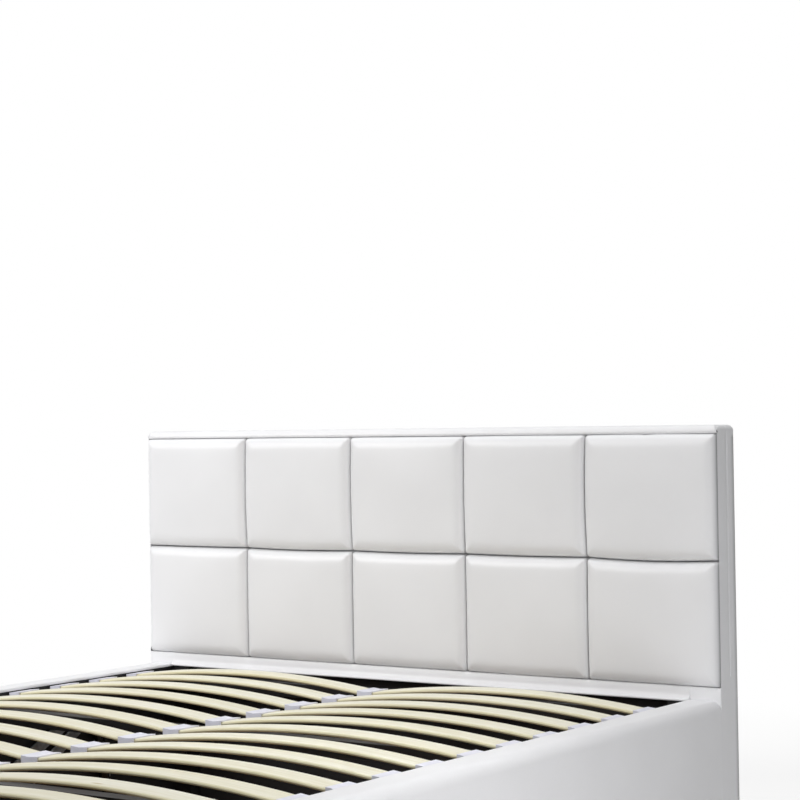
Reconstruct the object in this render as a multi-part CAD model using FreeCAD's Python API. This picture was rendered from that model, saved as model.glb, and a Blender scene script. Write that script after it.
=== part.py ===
import FreeCAD, Part
import os
from math import atan2, cos, degrees, hypot, pi, radians, sin, tan

Vector = FreeCAD.Vector

# A double storage bed with a quilted headboard. The slatted platform tilts up on a pair of
# four-bar lift mechanisms to open the storage box under it.
# X runs across the bed, Y from the foot to the head, Z up. The origin is on the floor,
# under the middle of the bed.

# Overall sizes
bed_width = 1430.0
sleeping_length = 1900.0
headboard_height = 870.0
headboard_depth = 75.0
foot_panel_depth = 65.0
rail_depth = 67.0
rail_top = 350.0
rail_bottom = 30.0
cut_overrun = 5.0

half_width = bed_width / 2
half_length = (sleeping_length + headboard_depth + foot_panel_depth) / 2
head_face = half_length - headboard_depth
foot_face = head_face - sleeping_length
rail_inner = half_width - rail_depth

# Headboard: foam and quilting on a board, a timber frame behind it, cloth on the back
quilt_columns = 5
quilt_bottom = 374.0
lower_row_share = 0.496
top_band = 14.0
pad_crown = 12.0
pad_edge = 30.0
pad_corner_radius = 4.0
pad_corner_growth_share = 0.6
pad_steps = 4
foam_depth = 32.0
board_thickness = 9.0
board_bottom = 40.0
back_cloth_thickness = 2.0
side_band = 6.0
band_edge_radius = 5.0
top_edge_radius = 12.0
front_corner_radius = 11.0
band_bottom = 14.0
wrap_thickness = 3.0
wrap_edge_radius = 10.0
wrap_fold = 25.0
back_cloth_margin = 14.0
stile_width = 72.0
cross_rail_height = 70.0
cross_rail_shares = (0.10, 0.38, 0.68)
lower_band_height = 28.0
ledge_reach = 12.0
ledge_lip = 4.0
ledge_slope = 10.0
ledge_lip_radius = 1.9
ledge_hollow_radius = 6.0
ledge_side_gap = 0.5
leg_block_width = 109.0
glide_height = 12.0
glide_radius = 13.0
lining_thickness = 1.6

quilt_top = headboard_height - top_band
middle_seam = quilt_bottom + (quilt_top - quilt_bottom) * lower_row_share
quilt_half_width = half_width - side_band
board_front = head_face + foam_depth
board_back = board_front + board_thickness
wrap_back = half_length - back_cloth_thickness
frame_back = wrap_back - wrap_thickness
frame_half_width = half_width - wrap_thickness
frame_top = headboard_height - wrap_thickness
lower_band_bottom = quilt_bottom - lower_band_height

# Side rails and foot panel: boards on battens under a padded leather cover
cover_side = 5.0
cover_top = 6.0
cover_bottom = 2.0
rail_outer_radius = 22.0
rail_inner_radius = 4.0
rail_lower_radius = 8.0
core_radius = 16.0
foot_corner_radius = 14.0
inner_panel_thickness = 15.0
outer_sheet_thickness = 12.0
batten_height = 30.0
post_length = 45.0
rail_bays = 4

core_bottom = rail_bottom + cover_bottom
core_top = rail_top - cover_top
core_outer = half_width - cover_side
foot_outer = foot_face - foot_panel_depth
foot_core_outer = foot_outer + cover_side

# Storage floor
floor_batten_width = 30.0
floor_batten_bottom = 14.0
floor_batten_height = 18.0
floor_thickness = 6.0
floor_boards = 4
floor_gap = 1.0
centre_beam_width = 60.0

floor_batten_top = floor_batten_bottom + floor_batten_height
floor_top = floor_batten_top + floor_thickness

# Feet
base_foot_radius = 24.0
base_foot_taper = 3.0
foot_inset = 34.0
centre_foot_radius = 20.0
centre_foot_shares = (-0.25, 0.0, 0.25)

# Platform: square steel tube, arched birch slats in plastic holders
tube_size = 30.0
tube_wall = 1.6
tube_bottom = 300.5
platform_side_gap = 6.0
platform_head_gap = 10.0
platform_foot_gap = 10.0
cross_bar_shares = (0.34, 0.67)
slat_width = 53.0
slat_thickness = 8.0
slat_arch = 22.5
slat_pitch = 117.6
first_slat_setback = 132.0
last_slat_setback = 110.0
slat_end_lift = 2.0
holder_wall = 2.0
holder_side_wall = 2.5
holder_fit = 0.15
side_holder_length = 28.0
side_holder_end = 5.0
centre_holder_length = 36.0
centre_holder_web = 12.0
peg_radius = 5.0
peg_length = 9.0

tube_top = tube_bottom + tube_size
platform_half_width = rail_inner - platform_side_gap
platform_head = head_face - platform_head_gap
platform_foot = foot_face + platform_foot_gap
slat_end_bottom = tube_top + slat_end_lift
slat_outer_end = platform_half_width - side_holder_end
slat_inner_end = centre_holder_web / 2
slat_rows = int((sleeping_length - first_slat_setback - last_slat_setback) / slat_pitch) + 1
slat_rows_y = [head_face - first_slat_setback - slat_pitch * n for n in range(slat_rows)]

# Mattress stops and pull straps at the foot of the platform, and the blocks that it rests on
stop_rod_radius = 5.0
stop_width = 150.0
stop_height = 62.0
stop_bend_radius = 24.0
stop_share = 0.5
strap_share = 0.25
strap_width = 35.0
strap_thickness = 2.0
strap_slack = 0.3
strap_rise = 74.0
strap_top_radius = 15.0
rest_block_depth = 26.0
rest_block_height = 40.0
rest_block_end_gap = 50.0
rest_gap = 0.3

# Lift mechanism, one each side: two links, a gas strut, a plate on the rail and one on the tube.
# Distances back from the headboard face and up from the floor at rest, at the pivots.
lid_front_pivot_back = 271.6
lid_front_pivot_drop = 14.5
lid_rear_pivot_back = 344.2
lid_rear_pivot_drop = 33.5
rear_pin_back = 346.4
rear_pin_drop = 32.0
base_front_pivot_back = 533.8
base_front_pivot_height = 120.0
base_rear_pivot_back = 745.0
base_rear_pivot_height = 72.0
strut_angle = 45.0
link_width = 24.0
link_thickness = 5.0
pivot_pin_radius = 5.0
pivot_clearance = 0.08
pivot_head_radius = 9.0
pivot_head_thickness = 3.0
side_play = 0.5
open_pivot_radius = 8.5
open_pivot_washer_radius = 13.0
base_plate_thickness = 3.0
base_plate_bottom = 44.0
base_plate_height = 106.0
base_plate_margin = 26.0
base_plate_radius = 10.0
lid_plate_thickness = 5.0
lid_plate_inset = 3.0
lid_plate_margin = 19.0
lid_plate_radius = 8.0
layer_gap = 2.0
strut_radius = 11.0
strut_wall = 1.7
strut_gap = 1.5
strut_eye_radius = 9.0
strut_eye_width = 8.0
strut_foot_length = 14.0
strut_foot_wall = 6.0
strut_cap_length = 12.0
strut_cap_setback = 31.5
rod_radius = 4.5
rod_guide_gap = 0.5
rod_tip_gap = 22.0
rod_neck_length = 17.0
piston_length = 6.0
piston_gap = 0.5

# Corner brackets and screws
bracket_leg = 38.0
bracket_height = 120.0
bracket_bottom = 150.0
bracket_thickness = 3.0
screw_radius = 3.0
screw_clearance = 0.2
screw_length = 14.0
screw_head_radius = 6.5
screw_head_height = 3.5
bracket_screw_shares = (0.2, 0.8)
plate_screw_shares = (0.06, 0.36, 0.97)
plate_screw_rise_share = 0.84

lid_front_pivot = (head_face - lid_front_pivot_back, tube_bottom - lid_front_pivot_drop)
lid_rear_pivot = (head_face - lid_rear_pivot_back, tube_bottom - lid_rear_pivot_drop)
rear_pin = (head_face - rear_pin_back, tube_bottom - rear_pin_drop)
base_front_pivot = (head_face - base_front_pivot_back, base_front_pivot_height)
base_rear_pivot = (head_face - base_rear_pivot_back, base_rear_pivot_height)

# The layers of the mechanism, from the rail inwards
base_plate_face = rail_inner - base_plate_thickness
strut_plane = base_plate_face - strut_gap - strut_radius
strut_neck_radius = strut_eye_width / 2
outer_link_face = strut_plane + link_thickness / 2 - strut_gap / 2
inner_link_face = outer_link_face - link_thickness - layer_gap
lid_plate_inner = platform_half_width - tube_size + lid_plate_inset
lid_plate_face = lid_plate_inner + lid_plate_thickness


def box(x_range, y_range, z_range):
    low = [min(pair) for pair in (x_range, y_range, z_range)]
    high = [max(pair) for pair in (x_range, y_range, z_range)]
    return Part.makeBox(high[0] - low[0], high[1] - low[1], high[2] - low[2], Vector(*low))


def both_ways(size):
    return (-size, size)


def along_x(u, v):
    return Vector(0, u, v)


def along_y(u, v):
    return Vector(u, 0, v)


def along_z(u, v):
    return Vector(u, v, 0)


def rounded_wire(corners, plane):
    """A closed outline in one plane, each corner given as (u, v, radius)."""
    edges = []
    starts = []
    ends = []
    count = len(corners)
    for i, (u, v, radius) in enumerate(corners):
        before = corners[i - 1]
        after = corners[(i + 1) % count]
        a = Vector(before[0] - u, before[1] - v, 0)
        b = Vector(after[0] - u, after[1] - v, 0)
        a.normalize()
        b.normalize()
        half_turn = a.getAngle(b) / 2
        corner = Vector(u, v, 0)
        if radius == 0:
            starts.append((corner, None))
            ends.append(corner)
            continue
        reach = radius / tan(half_turn)
        middle = a + b
        middle.normalize()
        centre = corner + middle * (radius / sin(half_turn))
        starts.append((corner + a * reach, centre - middle * radius))
        ends.append(corner + b * reach)
    for i in range(count):
        start, bend = starts[i]
        if bend is not None:
            points = [plane(p.x, p.y) for p in (start, bend, ends[i])]
            edges.append(Part.Arc(*points).toShape())
        following = starts[(i + 1) % count][0]
        edges.append(Part.makeLine(plane(ends[i].x, ends[i].y), plane(following.x, following.y)))
    return Part.Wire(edges)


def prism(corners, plane, span):
    """The outline drawn out square to its plane, over the span."""
    direction = {along_x: Vector(1, 0, 0), along_y: Vector(0, 1, 0), along_z: Vector(0, 0, 1)}[plane]
    face = Part.Face(rounded_wire(corners, plane))
    face.translate(direction * min(span))
    return face.extrude(direction * abs(span[1] - span[0]))


def round_bar(radius, start, end):
    line = end - start
    return Part.makeCylinder(radius, line.Length, start, line)


def cross_bar(radius, x_range, pivot):
    return round_bar(radius, Vector(min(x_range), *pivot), Vector(max(x_range), *pivot))


def other_side(shape):
    return shape.mirror(Vector(0, 0, 0), Vector(1, 0, 0))


def fused(solids):
    whole = solids[0]
    for solid in solids[1:]:
        whole = whole.fuse(solid)
    return whole.removeSplitter()


def group(solids):
    return Part.makeCompound(solids)


def mirrored_pair(right):
    return group([right, other_side(right)])


def save(name, shape):
    shape.exportStep("parts/" + name + ".step")


def save_pair(name, right):
    save("right_" + name, right)
    save("left_" + name, other_side(right))


# Headboard


def pad(x_range, z_range):
    """One quilted square: its sides roll over from the seam to a nearly flat front."""
    sections = []
    for step in range(pad_steps + 1):
        turn = pi / 2 * step / pad_steps
        inset = pad_edge * (1 - cos(turn))
        radius = pad_corner_radius + inset * pad_corner_growth_share
        rise = pad_crown * sin(turn)
        left, right = min(x_range) + inset, max(x_range) - inset
        low, high = min(z_range) + inset, max(z_range) - inset
        outline = [(left, low, radius), (right, low, radius), (right, high, radius), (left, high, radius)]
        wire = rounded_wire(outline, along_y)
        wire.translate(Vector(0, head_face - rise, 0))
        sections.append(wire)
    return Part.makeLoft(sections, True, False)


def quilted_face():
    slab = box(both_ways(quilt_half_width), (head_face, board_front), (quilt_bottom, quilt_top))
    pitch = 2 * quilt_half_width / quilt_columns
    pads = []
    for column in range(quilt_columns):
        left = -quilt_half_width + pitch * column
        for z_range in ((quilt_bottom, middle_seam), (middle_seam, quilt_top)):
            pads.append(pad((left, left + pitch), z_range))
    return fused([slab] + pads)


def headboard_blank(half, top, y_range, front_radius, back_radius, corner_radius):
    """The outside of the headboard between two depths, down to the lower edge of its cover."""
    front, back = y_range
    side_view = [
        (front, band_bottom, 0),
        (back, band_bottom, 0),
        (back, top, back_radius),
        (front, top, front_radius),
    ]
    front_view = [
        (-half, band_bottom, 0),
        (half, band_bottom, 0),
        (half, top, corner_radius),
        (-half, top, corner_radius),
    ]
    plan_radius = band_edge_radius if front_radius else 0
    plan = [(-half, front, plan_radius), (half, front, plan_radius), (half, back, 0), (-half, back, 0)]
    blank = prism(side_view, along_x, both_ways(half))
    blank = blank.common(prism(front_view, along_y, y_range))
    return blank.common(prism(plan, along_z, (band_bottom, top)))


def headboard_border():
    depth = (head_face, board_back)
    blank = headboard_blank(
        half_width, headboard_height, depth, top_edge_radius, 0, front_corner_radius
    )
    inside = box(
        both_ways(quilt_half_width),
        (head_face - cut_overrun, board_back + cut_overrun),
        (band_bottom - cut_overrun, quilt_top),
    )
    return blank.cut(inside)


def frame_blank():
    edge = wrap_edge_radius - wrap_thickness
    corner = front_corner_radius - wrap_thickness
    return headboard_blank(frame_half_width, frame_top, (board_back, frame_back), 0, edge, corner)


def headboard_wrap():
    """The cover of the rear part, over its sides and top and folded onto its back."""
    depth = (board_back, wrap_back)
    blank = headboard_blank(
        half_width, headboard_height, depth, 0, wrap_edge_radius, front_corner_radius
    )
    window = box(
        both_ways(half_width - wrap_fold),
        (frame_back, wrap_back + cut_overrun),
        (band_bottom - cut_overrun, headboard_height - wrap_fold),
    )
    return blank.cut(frame_blank()).cut(window)


def headboard_frame():
    depth = (board_back, frame_back)
    stiles = []
    for side in (-1, 1):
        edges = (side * frame_half_width, side * (frame_half_width - stile_width))
        leg = box(edges, depth, (glide_height, band_bottom))
        stiles.append(fused([frame_blank().common(box(edges, depth, (band_bottom, frame_top))), leg]))
    between = both_ways(frame_half_width - stile_width)
    rails = [frame_blank().common(box(between, depth, (frame_top - cross_rail_height, frame_top)))]
    for share in cross_rail_shares:
        low = frame_top * share
        rails.append(box(between, depth, (low, low + cross_rail_height)))
    return fused(stiles + rails)


def headboard_lower_band():
    front = head_face - ledge_reach
    lip_top = lower_band_bottom + ledge_lip
    ledge = [
        (board_front, lower_band_bottom, 0),
        (front, lower_band_bottom, ledge_lip_radius),
        (front, lip_top, ledge_lip_radius),
        (head_face, lip_top + ledge_slope, ledge_hollow_radius),
        (head_face, quilt_bottom, 0),
        (board_front, quilt_bottom, 0),
    ]
    middle = prism(ledge, along_x, both_ways(rail_inner - ledge_side_gap))
    full = box(both_ways(quilt_half_width), (head_face, board_front), (lower_band_bottom, quilt_bottom))
    return fused([middle, full])


def headboard_legs():
    inner = quilt_half_width - leg_block_width
    right = box((inner, quilt_half_width), (head_face, board_front), (glide_height, lower_band_bottom))
    return mirrored_pair(with_screw_holes(right))


def headboard_board():
    return box(both_ways(quilt_half_width), (board_front, board_back), (board_bottom, quilt_top))


def head_end_lining():
    half = quilt_half_width - leg_block_width
    depth = (board_front - lining_thickness, board_front)
    return box(both_ways(half), depth, (board_bottom, lower_band_bottom))


def headboard_back_cloth():
    half = half_width - back_cloth_margin
    top = headboard_height - back_cloth_margin
    return box(both_ways(half), (wrap_back, half_length), (board_bottom, top))


def headboard_glides():
    x = quilt_half_width - stile_width / 2
    feet = []
    for side in (-1, 1):
        for y in ((head_face + board_front) / 2, (board_back + frame_back) / 2):
            feet.append(round_bar(glide_radius, Vector(side * x, y, 0), Vector(side * x, y, glide_height)))
    return feet


# Base


def rail_cover():
    outside = [
        (rail_inner, rail_bottom, 0),
        (half_width, rail_bottom, rail_lower_radius),
        (half_width, rail_top, rail_outer_radius),
        (rail_inner, rail_top, rail_inner_radius),
    ]
    hollow = [
        (rail_inner - cut_overrun, core_bottom, 0),
        (core_outer, core_bottom, 0),
        (core_outer, core_top, core_radius),
        (rail_inner - cut_overrun, core_top, 0),
    ]
    length = (foot_face, head_face)
    return prism(outside, along_y, length).cut(prism(hollow, along_y, length))


def bays(start, end, count):
    """The clear spaces between equally spaced posts, as pairs of places."""
    pitch = (end - start - post_length) / count
    return [(start + pitch * n + post_length, start + pitch * (n + 1)) for n in range(count)]


def rail_core():
    inner = rail_inner + inner_panel_thickness
    outline = [
        (inner, core_bottom, 0),
        (core_outer, core_bottom, 0),
        (core_outer, core_top, core_radius),
        (inner, core_top, 0),
    ]
    core = prism(outline, along_y, (foot_face, head_face))
    x_range = (inner - cut_overrun, core_outer - outer_sheet_thickness)
    z_range = (core_bottom + batten_height, core_top - batten_height)
    for bay in bays(foot_face, head_face, rail_bays):
        core = core.cut(box(x_range, bay, z_range))
    return core


def foot_blank(half, outer, bottom, top, corner_radius, top_radius, lower_radius, inner_radius):
    side_view = [
        (foot_face, bottom, 0),
        (foot_face, top, inner_radius),
        (outer, top, top_radius),
        (outer, bottom, lower_radius),
    ]
    plan = [
        (-half, outer, corner_radius),
        (half, outer, corner_radius),
        (half, foot_face, 0),
        (-half, foot_face, 0),
    ]
    blank = prism(side_view, along_x, both_ways(half))
    return blank.common(prism(plan, along_z, (bottom, top)))


def foot_core_blank():
    corner = foot_corner_radius - cover_side
    return foot_blank(core_outer, foot_core_outer, core_bottom, core_top, corner, core_radius, 0, 0)


def foot_panel_cover():
    blank = foot_blank(
        half_width,
        foot_outer,
        rail_bottom,
        rail_top,
        foot_corner_radius,
        rail_outer_radius,
        rail_lower_radius,
        rail_inner_radius,
    )
    return blank.cut(foot_core_blank())


def foot_panel_core():
    inner = foot_face - inner_panel_thickness
    keep = box(both_ways(half_width), (foot_outer, inner), (rail_bottom, rail_top))
    core = foot_core_blank().common(keep)
    y_range = (foot_core_outer + outer_sheet_thickness, inner + cut_overrun)
    z_range = (core_bottom + batten_height, core_top - batten_height)
    for bay in bays(-core_outer, core_outer, rail_bays):
        core = core.cut(box(bay, y_range, z_range))
    return core


def base_plate_span():
    foot = strut_foot()
    return (base_rear_pivot[0] - base_plate_margin, foot[0] + base_plate_margin)


def bracket_screw_heights():
    return [bracket_bottom + bracket_height * share for share in bracket_screw_shares]


def plate_screw_places():
    start, end = base_plate_span()
    height = base_plate_bottom + base_plate_height * plate_screw_rise_share
    return [(start + (end - start) * share, height) for share in plate_screw_shares]


def screw(seat, inward):
    """A screw with a low round head, seated on a face and pointing into the board."""
    head = Part.makeCylinder(screw_head_radius, screw_head_height, seat, inward * -1)
    shank = Part.makeCylinder(screw_radius, screw_length, seat, inward)
    return fused([head, shank])


def screw_hole(seat, inward):
    start = seat - inward * cut_overrun
    depth = screw_length + cut_overrun + screw_clearance
    return Part.makeCylinder(screw_radius + screw_clearance, depth, start, inward)


def right_screw_seats():
    """Where the screws of the right side sit, each with the way that it points."""
    outward = Vector(1, 0, 0)
    seats = []
    leg_middle = bracket_thickness + (bracket_leg - bracket_thickness) / 2
    for z in bracket_screw_heights():
        for y, way in ((head_face, 1), (foot_face, -1)):
            on_rail = Vector(rail_inner - bracket_thickness, y - way * leg_middle, z)
            on_end = Vector(rail_inner - leg_middle, y - way * bracket_thickness, z)
            seats.append((on_rail, outward))
            seats.append((on_end, Vector(0, way, 0)))
    for y, z in plate_screw_places():
        seats.append((Vector(base_plate_face, y, z), outward))
    return seats


def with_screw_holes(shape):
    for seat, inward in right_screw_seats():
        shape = shape.cut(screw_hole(seat, inward))
    return shape


def screws():
    right = [screw(seat, inward) for seat, inward in right_screw_seats()]
    return group(right + [other_side(each) for each in right])


def side_inner_panel():
    x_range = (rail_inner, rail_inner + inner_panel_thickness)
    return with_screw_holes(box(x_range, (foot_face, head_face), (core_bottom, core_top)))


def foot_inner_panel():
    y_range = (foot_face - inner_panel_thickness, foot_face)
    panel = box(both_ways(core_outer), y_range, (core_bottom, core_top))
    return with_screw_holes(other_side(with_screw_holes(panel)))


def right_corner_brackets():
    solids = []
    height = (bracket_bottom, bracket_bottom + bracket_height)
    on_rail = (rail_inner - bracket_thickness, rail_inner)
    on_end = (rail_inner - bracket_leg, rail_inner)
    for face, way in ((head_face, -1), (foot_face, 1)):
        along_rail = box(on_rail, (face, face + way * bracket_leg), height)
        along_end = box(on_end, (face, face + way * bracket_thickness), height)
        solids.append(with_screw_holes(fused([along_rail, along_end])))
    return solids


def corner_brackets():
    right = right_corner_brackets()
    return group(right + [other_side(each) for each in right])


def floor_battens():
    height = (floor_batten_bottom, floor_batten_top)
    inner = rail_inner - floor_batten_width
    right = box((inner, rail_inner), (foot_face, head_face), height)
    head = box(both_ways(inner), (head_face - floor_batten_width, head_face), height)
    foot = box(both_ways(inner), (foot_face, foot_face + floor_batten_width), height)
    return group([right, other_side(right), head, foot])


def floor_centre_beam():
    span = (foot_face + floor_batten_width, head_face - floor_batten_width)
    return box(both_ways(centre_beam_width / 2), span, (floor_batten_bottom, floor_batten_top))


def floor_panels():
    pitch = (head_face - foot_face) / floor_boards
    solids = []
    for n in range(floor_boards):
        start = foot_face + pitch * n
        span = (start + floor_gap, start + pitch - floor_gap)
        solids.append(box(both_ways(rail_inner - floor_gap), span, (floor_batten_top, floor_top)))
    return group(solids)


def base_feet():
    x = half_width - foot_inset
    solids = []
    for side in (-1, 1):
        for y in (foot_face - foot_inset, (head_face + foot_face) / 2):
            low_radius = base_foot_radius - base_foot_taper
            seat = Vector(side * x, y, 0)
            solids.append(Part.makeCone(low_radius, base_foot_radius, rail_bottom, seat))
    return group(solids)


def centre_glides():
    middle = (head_face + foot_face) / 2
    solids = []
    for share in centre_foot_shares:
        y = middle + sleeping_length * share
        solids.append(round_bar(centre_foot_radius, Vector(0, y, 0), Vector(0, y, floor_batten_bottom)))
    return solids


def foot_rest_blocks():
    """Blocks on the foot panel that carry the closed platform, clear of the pull straps."""
    y_range = (foot_face, foot_face + rest_block_depth)
    top = tube_bottom - rest_gap
    strap_edge = platform_half_width * strap_share + strap_width / 2
    x_range = (strap_edge + rest_block_end_gap, platform_half_width - rest_block_end_gap)
    return mirrored_pair(box(x_range, y_range, (top - rest_block_height, top)))


# Platform


def tube(x_range, y_range, hollow_axis):
    """A square steel tube, open at both ends."""
    spans = [x_range, y_range, (tube_bottom, tube_top)]
    inner = [(low + tube_wall, high - tube_wall) for low, high in (sorted(span) for span in spans)]
    low, high = sorted(spans[hollow_axis])
    inner[hollow_axis] = (low - cut_overrun, high + cut_overrun)
    return box(*spans).cut(box(*inner))


def platform_side_tube():
    shape = tube((platform_half_width - tube_size, platform_half_width), (platform_foot, platform_head), 1)
    for y in slat_rows_y:
        shape = shape.cut(peg_hole(side_peg_x(), y))
    return shape


def platform_end_tube(y_range):
    return tube(both_ways(platform_half_width - tube_size), y_range, 0)


def platform_centre_tube():
    span = (platform_foot + tube_size, platform_head - tube_size)
    shape = tube(both_ways(tube_size / 2), span, 1)
    for y in slat_rows_y:
        shape = shape.cut(peg_hole(0, y))
    return shape


def platform_cross_bars():
    solids = []
    for share in cross_bar_shares:
        y = platform_foot + (platform_head - platform_foot) * share
        y_range = (y - tube_size / 2, y + tube_size / 2)
        right = tube((tube_size / 2, platform_half_width - tube_size), y_range, 0)
        solids += [right, other_side(right)]
    return group(solids)


def side_peg_x():
    return platform_half_width - tube_size / 2


def peg(x):
    return round_bar(peg_radius, Vector(x, 0, tube_top - peg_length), Vector(x, 0, tube_top))


def peg_hole(x, y):
    top = tube_top + cut_overrun
    return round_bar(peg_radius + holder_fit, Vector(x, y, tube_top - peg_length), Vector(x, y, top))


def arched_band(grow_side, grow_face, x_range):
    """A slat of the right-hand column about Y = 0, or the space that it needs in a holder."""
    low = slat_end_bottom - grow_face
    high = slat_end_bottom + slat_thickness + grow_face
    middle = (slat_inner_end + slat_outer_end) / 2
    under = Part.Arc(
        Vector(slat_inner_end, 0, low), Vector(middle, 0, low + slat_arch), Vector(slat_outer_end, 0, low)
    ).toShape()
    over = Part.Arc(
        Vector(slat_outer_end, 0, high), Vector(middle, 0, high + slat_arch), Vector(slat_inner_end, 0, high)
    ).toShape()
    ends = [
        Part.makeLine(Vector(slat_outer_end, 0, low), Vector(slat_outer_end, 0, high)),
        Part.makeLine(Vector(slat_inner_end, 0, high), Vector(slat_inner_end, 0, low)),
    ]
    half = slat_width / 2 + grow_side
    face = Part.Face(Part.Wire([under, ends[0], over, ends[1]]))
    face.translate(Vector(0, -half, 0))
    band = face.extrude(Vector(0, 2 * half, 0))
    if x_range is None:
        return band
    return band.common(box(x_range, both_ways(half), (low, high + slat_arch)))


def arch_rise(from_end):
    """How much the slat has risen at a distance from its end, near the end."""
    span = slat_outer_end - slat_inner_end
    return 4 * slat_arch * from_end * (span - from_end) / span**2


def side_holder():
    """A cap over a slat's outer end, with a peg into the side tube."""
    inner = platform_half_width - side_holder_length
    top = slat_end_bottom + slat_thickness + holder_wall
    inner_top = top + arch_rise(slat_outer_end - inner)
    outline = [
        (inner, tube_top, 0),
        (platform_half_width, tube_top, 0),
        (platform_half_width, top, 0),
        (inner, inner_top, 0),
    ]
    half = slat_width / 2 + holder_side_wall
    body = prism(outline, along_y, both_ways(half))
    pocket = arched_band(holder_fit, holder_fit, (inner - cut_overrun, slat_outer_end))
    return fused([body.cut(pocket), peg(side_peg_x())])


def centre_holder():
    """A double cap that holds the inner ends of both slats of a row."""
    half_length_x = centre_holder_length / 2
    top = slat_end_bottom + slat_thickness + holder_wall
    end_top = top + arch_rise(half_length_x - slat_inner_end)
    outline = [
        (-half_length_x, tube_top, 0),
        (half_length_x, tube_top, 0),
        (half_length_x, end_top, 0),
        (0, top, 0),
        (-half_length_x, end_top, 0),
    ]
    half = slat_width / 2 + holder_side_wall
    body = prism(outline, along_y, both_ways(half))
    pocket = arched_band(holder_fit, holder_fit, (slat_inner_end, half_length_x + cut_overrun))
    return fused([body.cut(pocket).cut(other_side(pocket)), peg(0)])


def at_rows(shape):
    copies = []
    for y in slat_rows_y:
        copy = shape.copy()
        copy.translate(Vector(0, y, 0))
        copies.append(copy)
    return copies


def save_slat_rows():
    slat = arched_band(0, 0, None)
    for number, right in enumerate(at_rows(slat), 1):
        save("slat_row_%02d" % number, group([right, other_side(right)]))


def mattress_stop(x):
    """A hoop of steel rod that stands on the foot tube."""
    y = platform_foot + tube_size / 2
    top = tube_top + stop_height
    half = stop_width / 2
    bend = stop_bend_radius
    turned = bend * (1 - cos(pi / 4))
    places = [
        (x - half, tube_top),
        (x - half, top - bend),
        (x - half + turned, top - turned),
        (x - half + bend, top),
        (x + half - bend, top),
        (x + half - turned, top - turned),
        (x + half, top - bend),
        (x + half, tube_top),
    ]
    points = [Vector(u, y, v) for u, v in places]
    edges = [
        Part.makeLine(points[0], points[1]),
        Part.Arc(points[1], points[2], points[3]).toShape(),
        Part.makeLine(points[3], points[4]),
        Part.Arc(points[4], points[5], points[6]).toShape(),
        Part.makeLine(points[6], points[7]),
    ]
    ring = Part.Wire(Part.makeCircle(stop_rod_radius, points[0], Vector(0, 0, 1)))
    return Part.Wire(edges).makePipeShell([ring], True, False)


def mattress_stops():
    place = platform_half_width * stop_share
    return group([mattress_stop(place), mattress_stop(-place)])


def pull_straps():
    """Webbing sewn in loops round the foot tube, standing up as handles."""
    near = platform_foot - strap_slack
    far = platform_foot + tube_size + strap_slack
    low = tube_bottom - strap_slack
    top = tube_top + strap_rise
    inner = [(near, low, 0), (far, low, 0), (far, top, strap_top_radius), (near, top, strap_top_radius)]
    band = strap_thickness
    radius = strap_top_radius + band
    outer = [
        (near - band, low - band, 0),
        (far + band, low - band, 0),
        (far + band, top + band, radius),
        (near - band, top + band, radius),
    ]
    middle = platform_half_width * strap_share
    width = (middle - strap_width / 2, middle + strap_width / 2)
    return mirrored_pair(prism(outer, along_x, width).cut(prism(inner, along_x, width)))


# Lift mechanism, right-hand side


def strut_foot():
    """The strut's lower pivot, as far from the front link's pivot as its upper one."""
    y = lid_front_pivot[0] - base_front_pivot[0]
    z = lid_front_pivot[1] - base_front_pivot[1]
    angle = atan2(z, y) - radians(strut_angle)
    radius = hypot(y, z)
    return (base_front_pivot[0] + radius * cos(angle), base_front_pivot[1] + radius * sin(angle))


def strut_closed_length():
    foot = strut_foot()
    return hypot(lid_front_pivot[0] - foot[0], lid_front_pivot[1] - foot[1])


def link(start, end, x_range):
    """A flat steel bar with round ends, bored for a pin at each end."""
    run = Vector(0, end[0] - start[0], end[1] - start[1])
    angle = degrees(atan2(run.z, run.y))
    bar = box(x_range, (0, run.Length), both_ways(link_width / 2))
    bar.rotate(Vector(0, 0, 0), Vector(1, 0, 0), angle)
    bar.translate(Vector(0, *start))
    return fused([bar] + [cross_bar(link_width / 2, x_range, pivot) for pivot in (start, end)])


def bored(shape, radius, x_range, pivot):
    reach = (min(x_range) - cut_overrun, max(x_range) + cut_overrun)
    return shape.cut(cross_bar(radius, reach, pivot))


def front_link():
    x_range = (inner_link_face - link_thickness, inner_link_face)
    shape = link(base_front_pivot, lid_front_pivot, x_range)
    for pivot in (base_front_pivot, lid_front_pivot):
        shape = bored(shape, pivot_pin_radius + pivot_clearance, x_range, pivot)
    return shape


def rear_link():
    x_range = (outer_link_face - link_thickness, outer_link_face)
    shape = link(base_rear_pivot, rear_pin, x_range)
    return bored(shape, pivot_pin_radius + pivot_clearance, x_range, base_rear_pivot)


def rear_link_pin():
    """The pin on the rear link's upper end, with its washer inside the lid plate."""
    link_face = outer_link_face - link_thickness
    washer_outer = lid_plate_inner - layer_gap
    washer_inner = washer_outer - pivot_head_thickness
    pin = cross_bar(pivot_pin_radius, (washer_outer, link_face), rear_pin)
    return fused([pin, cross_bar(open_pivot_washer_radius, (washer_inner, washer_outer), rear_pin)])


def base_plate():
    start, end = base_plate_span()
    top = base_plate_bottom + base_plate_height
    outline = [
        (start, base_plate_bottom, base_plate_radius),
        (end, base_plate_bottom, base_plate_radius),
        (end, top, base_plate_radius),
        (start, top, base_plate_radius),
    ]
    return with_screw_holes(prism(outline, along_x, (base_plate_face, rail_inner)))


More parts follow.
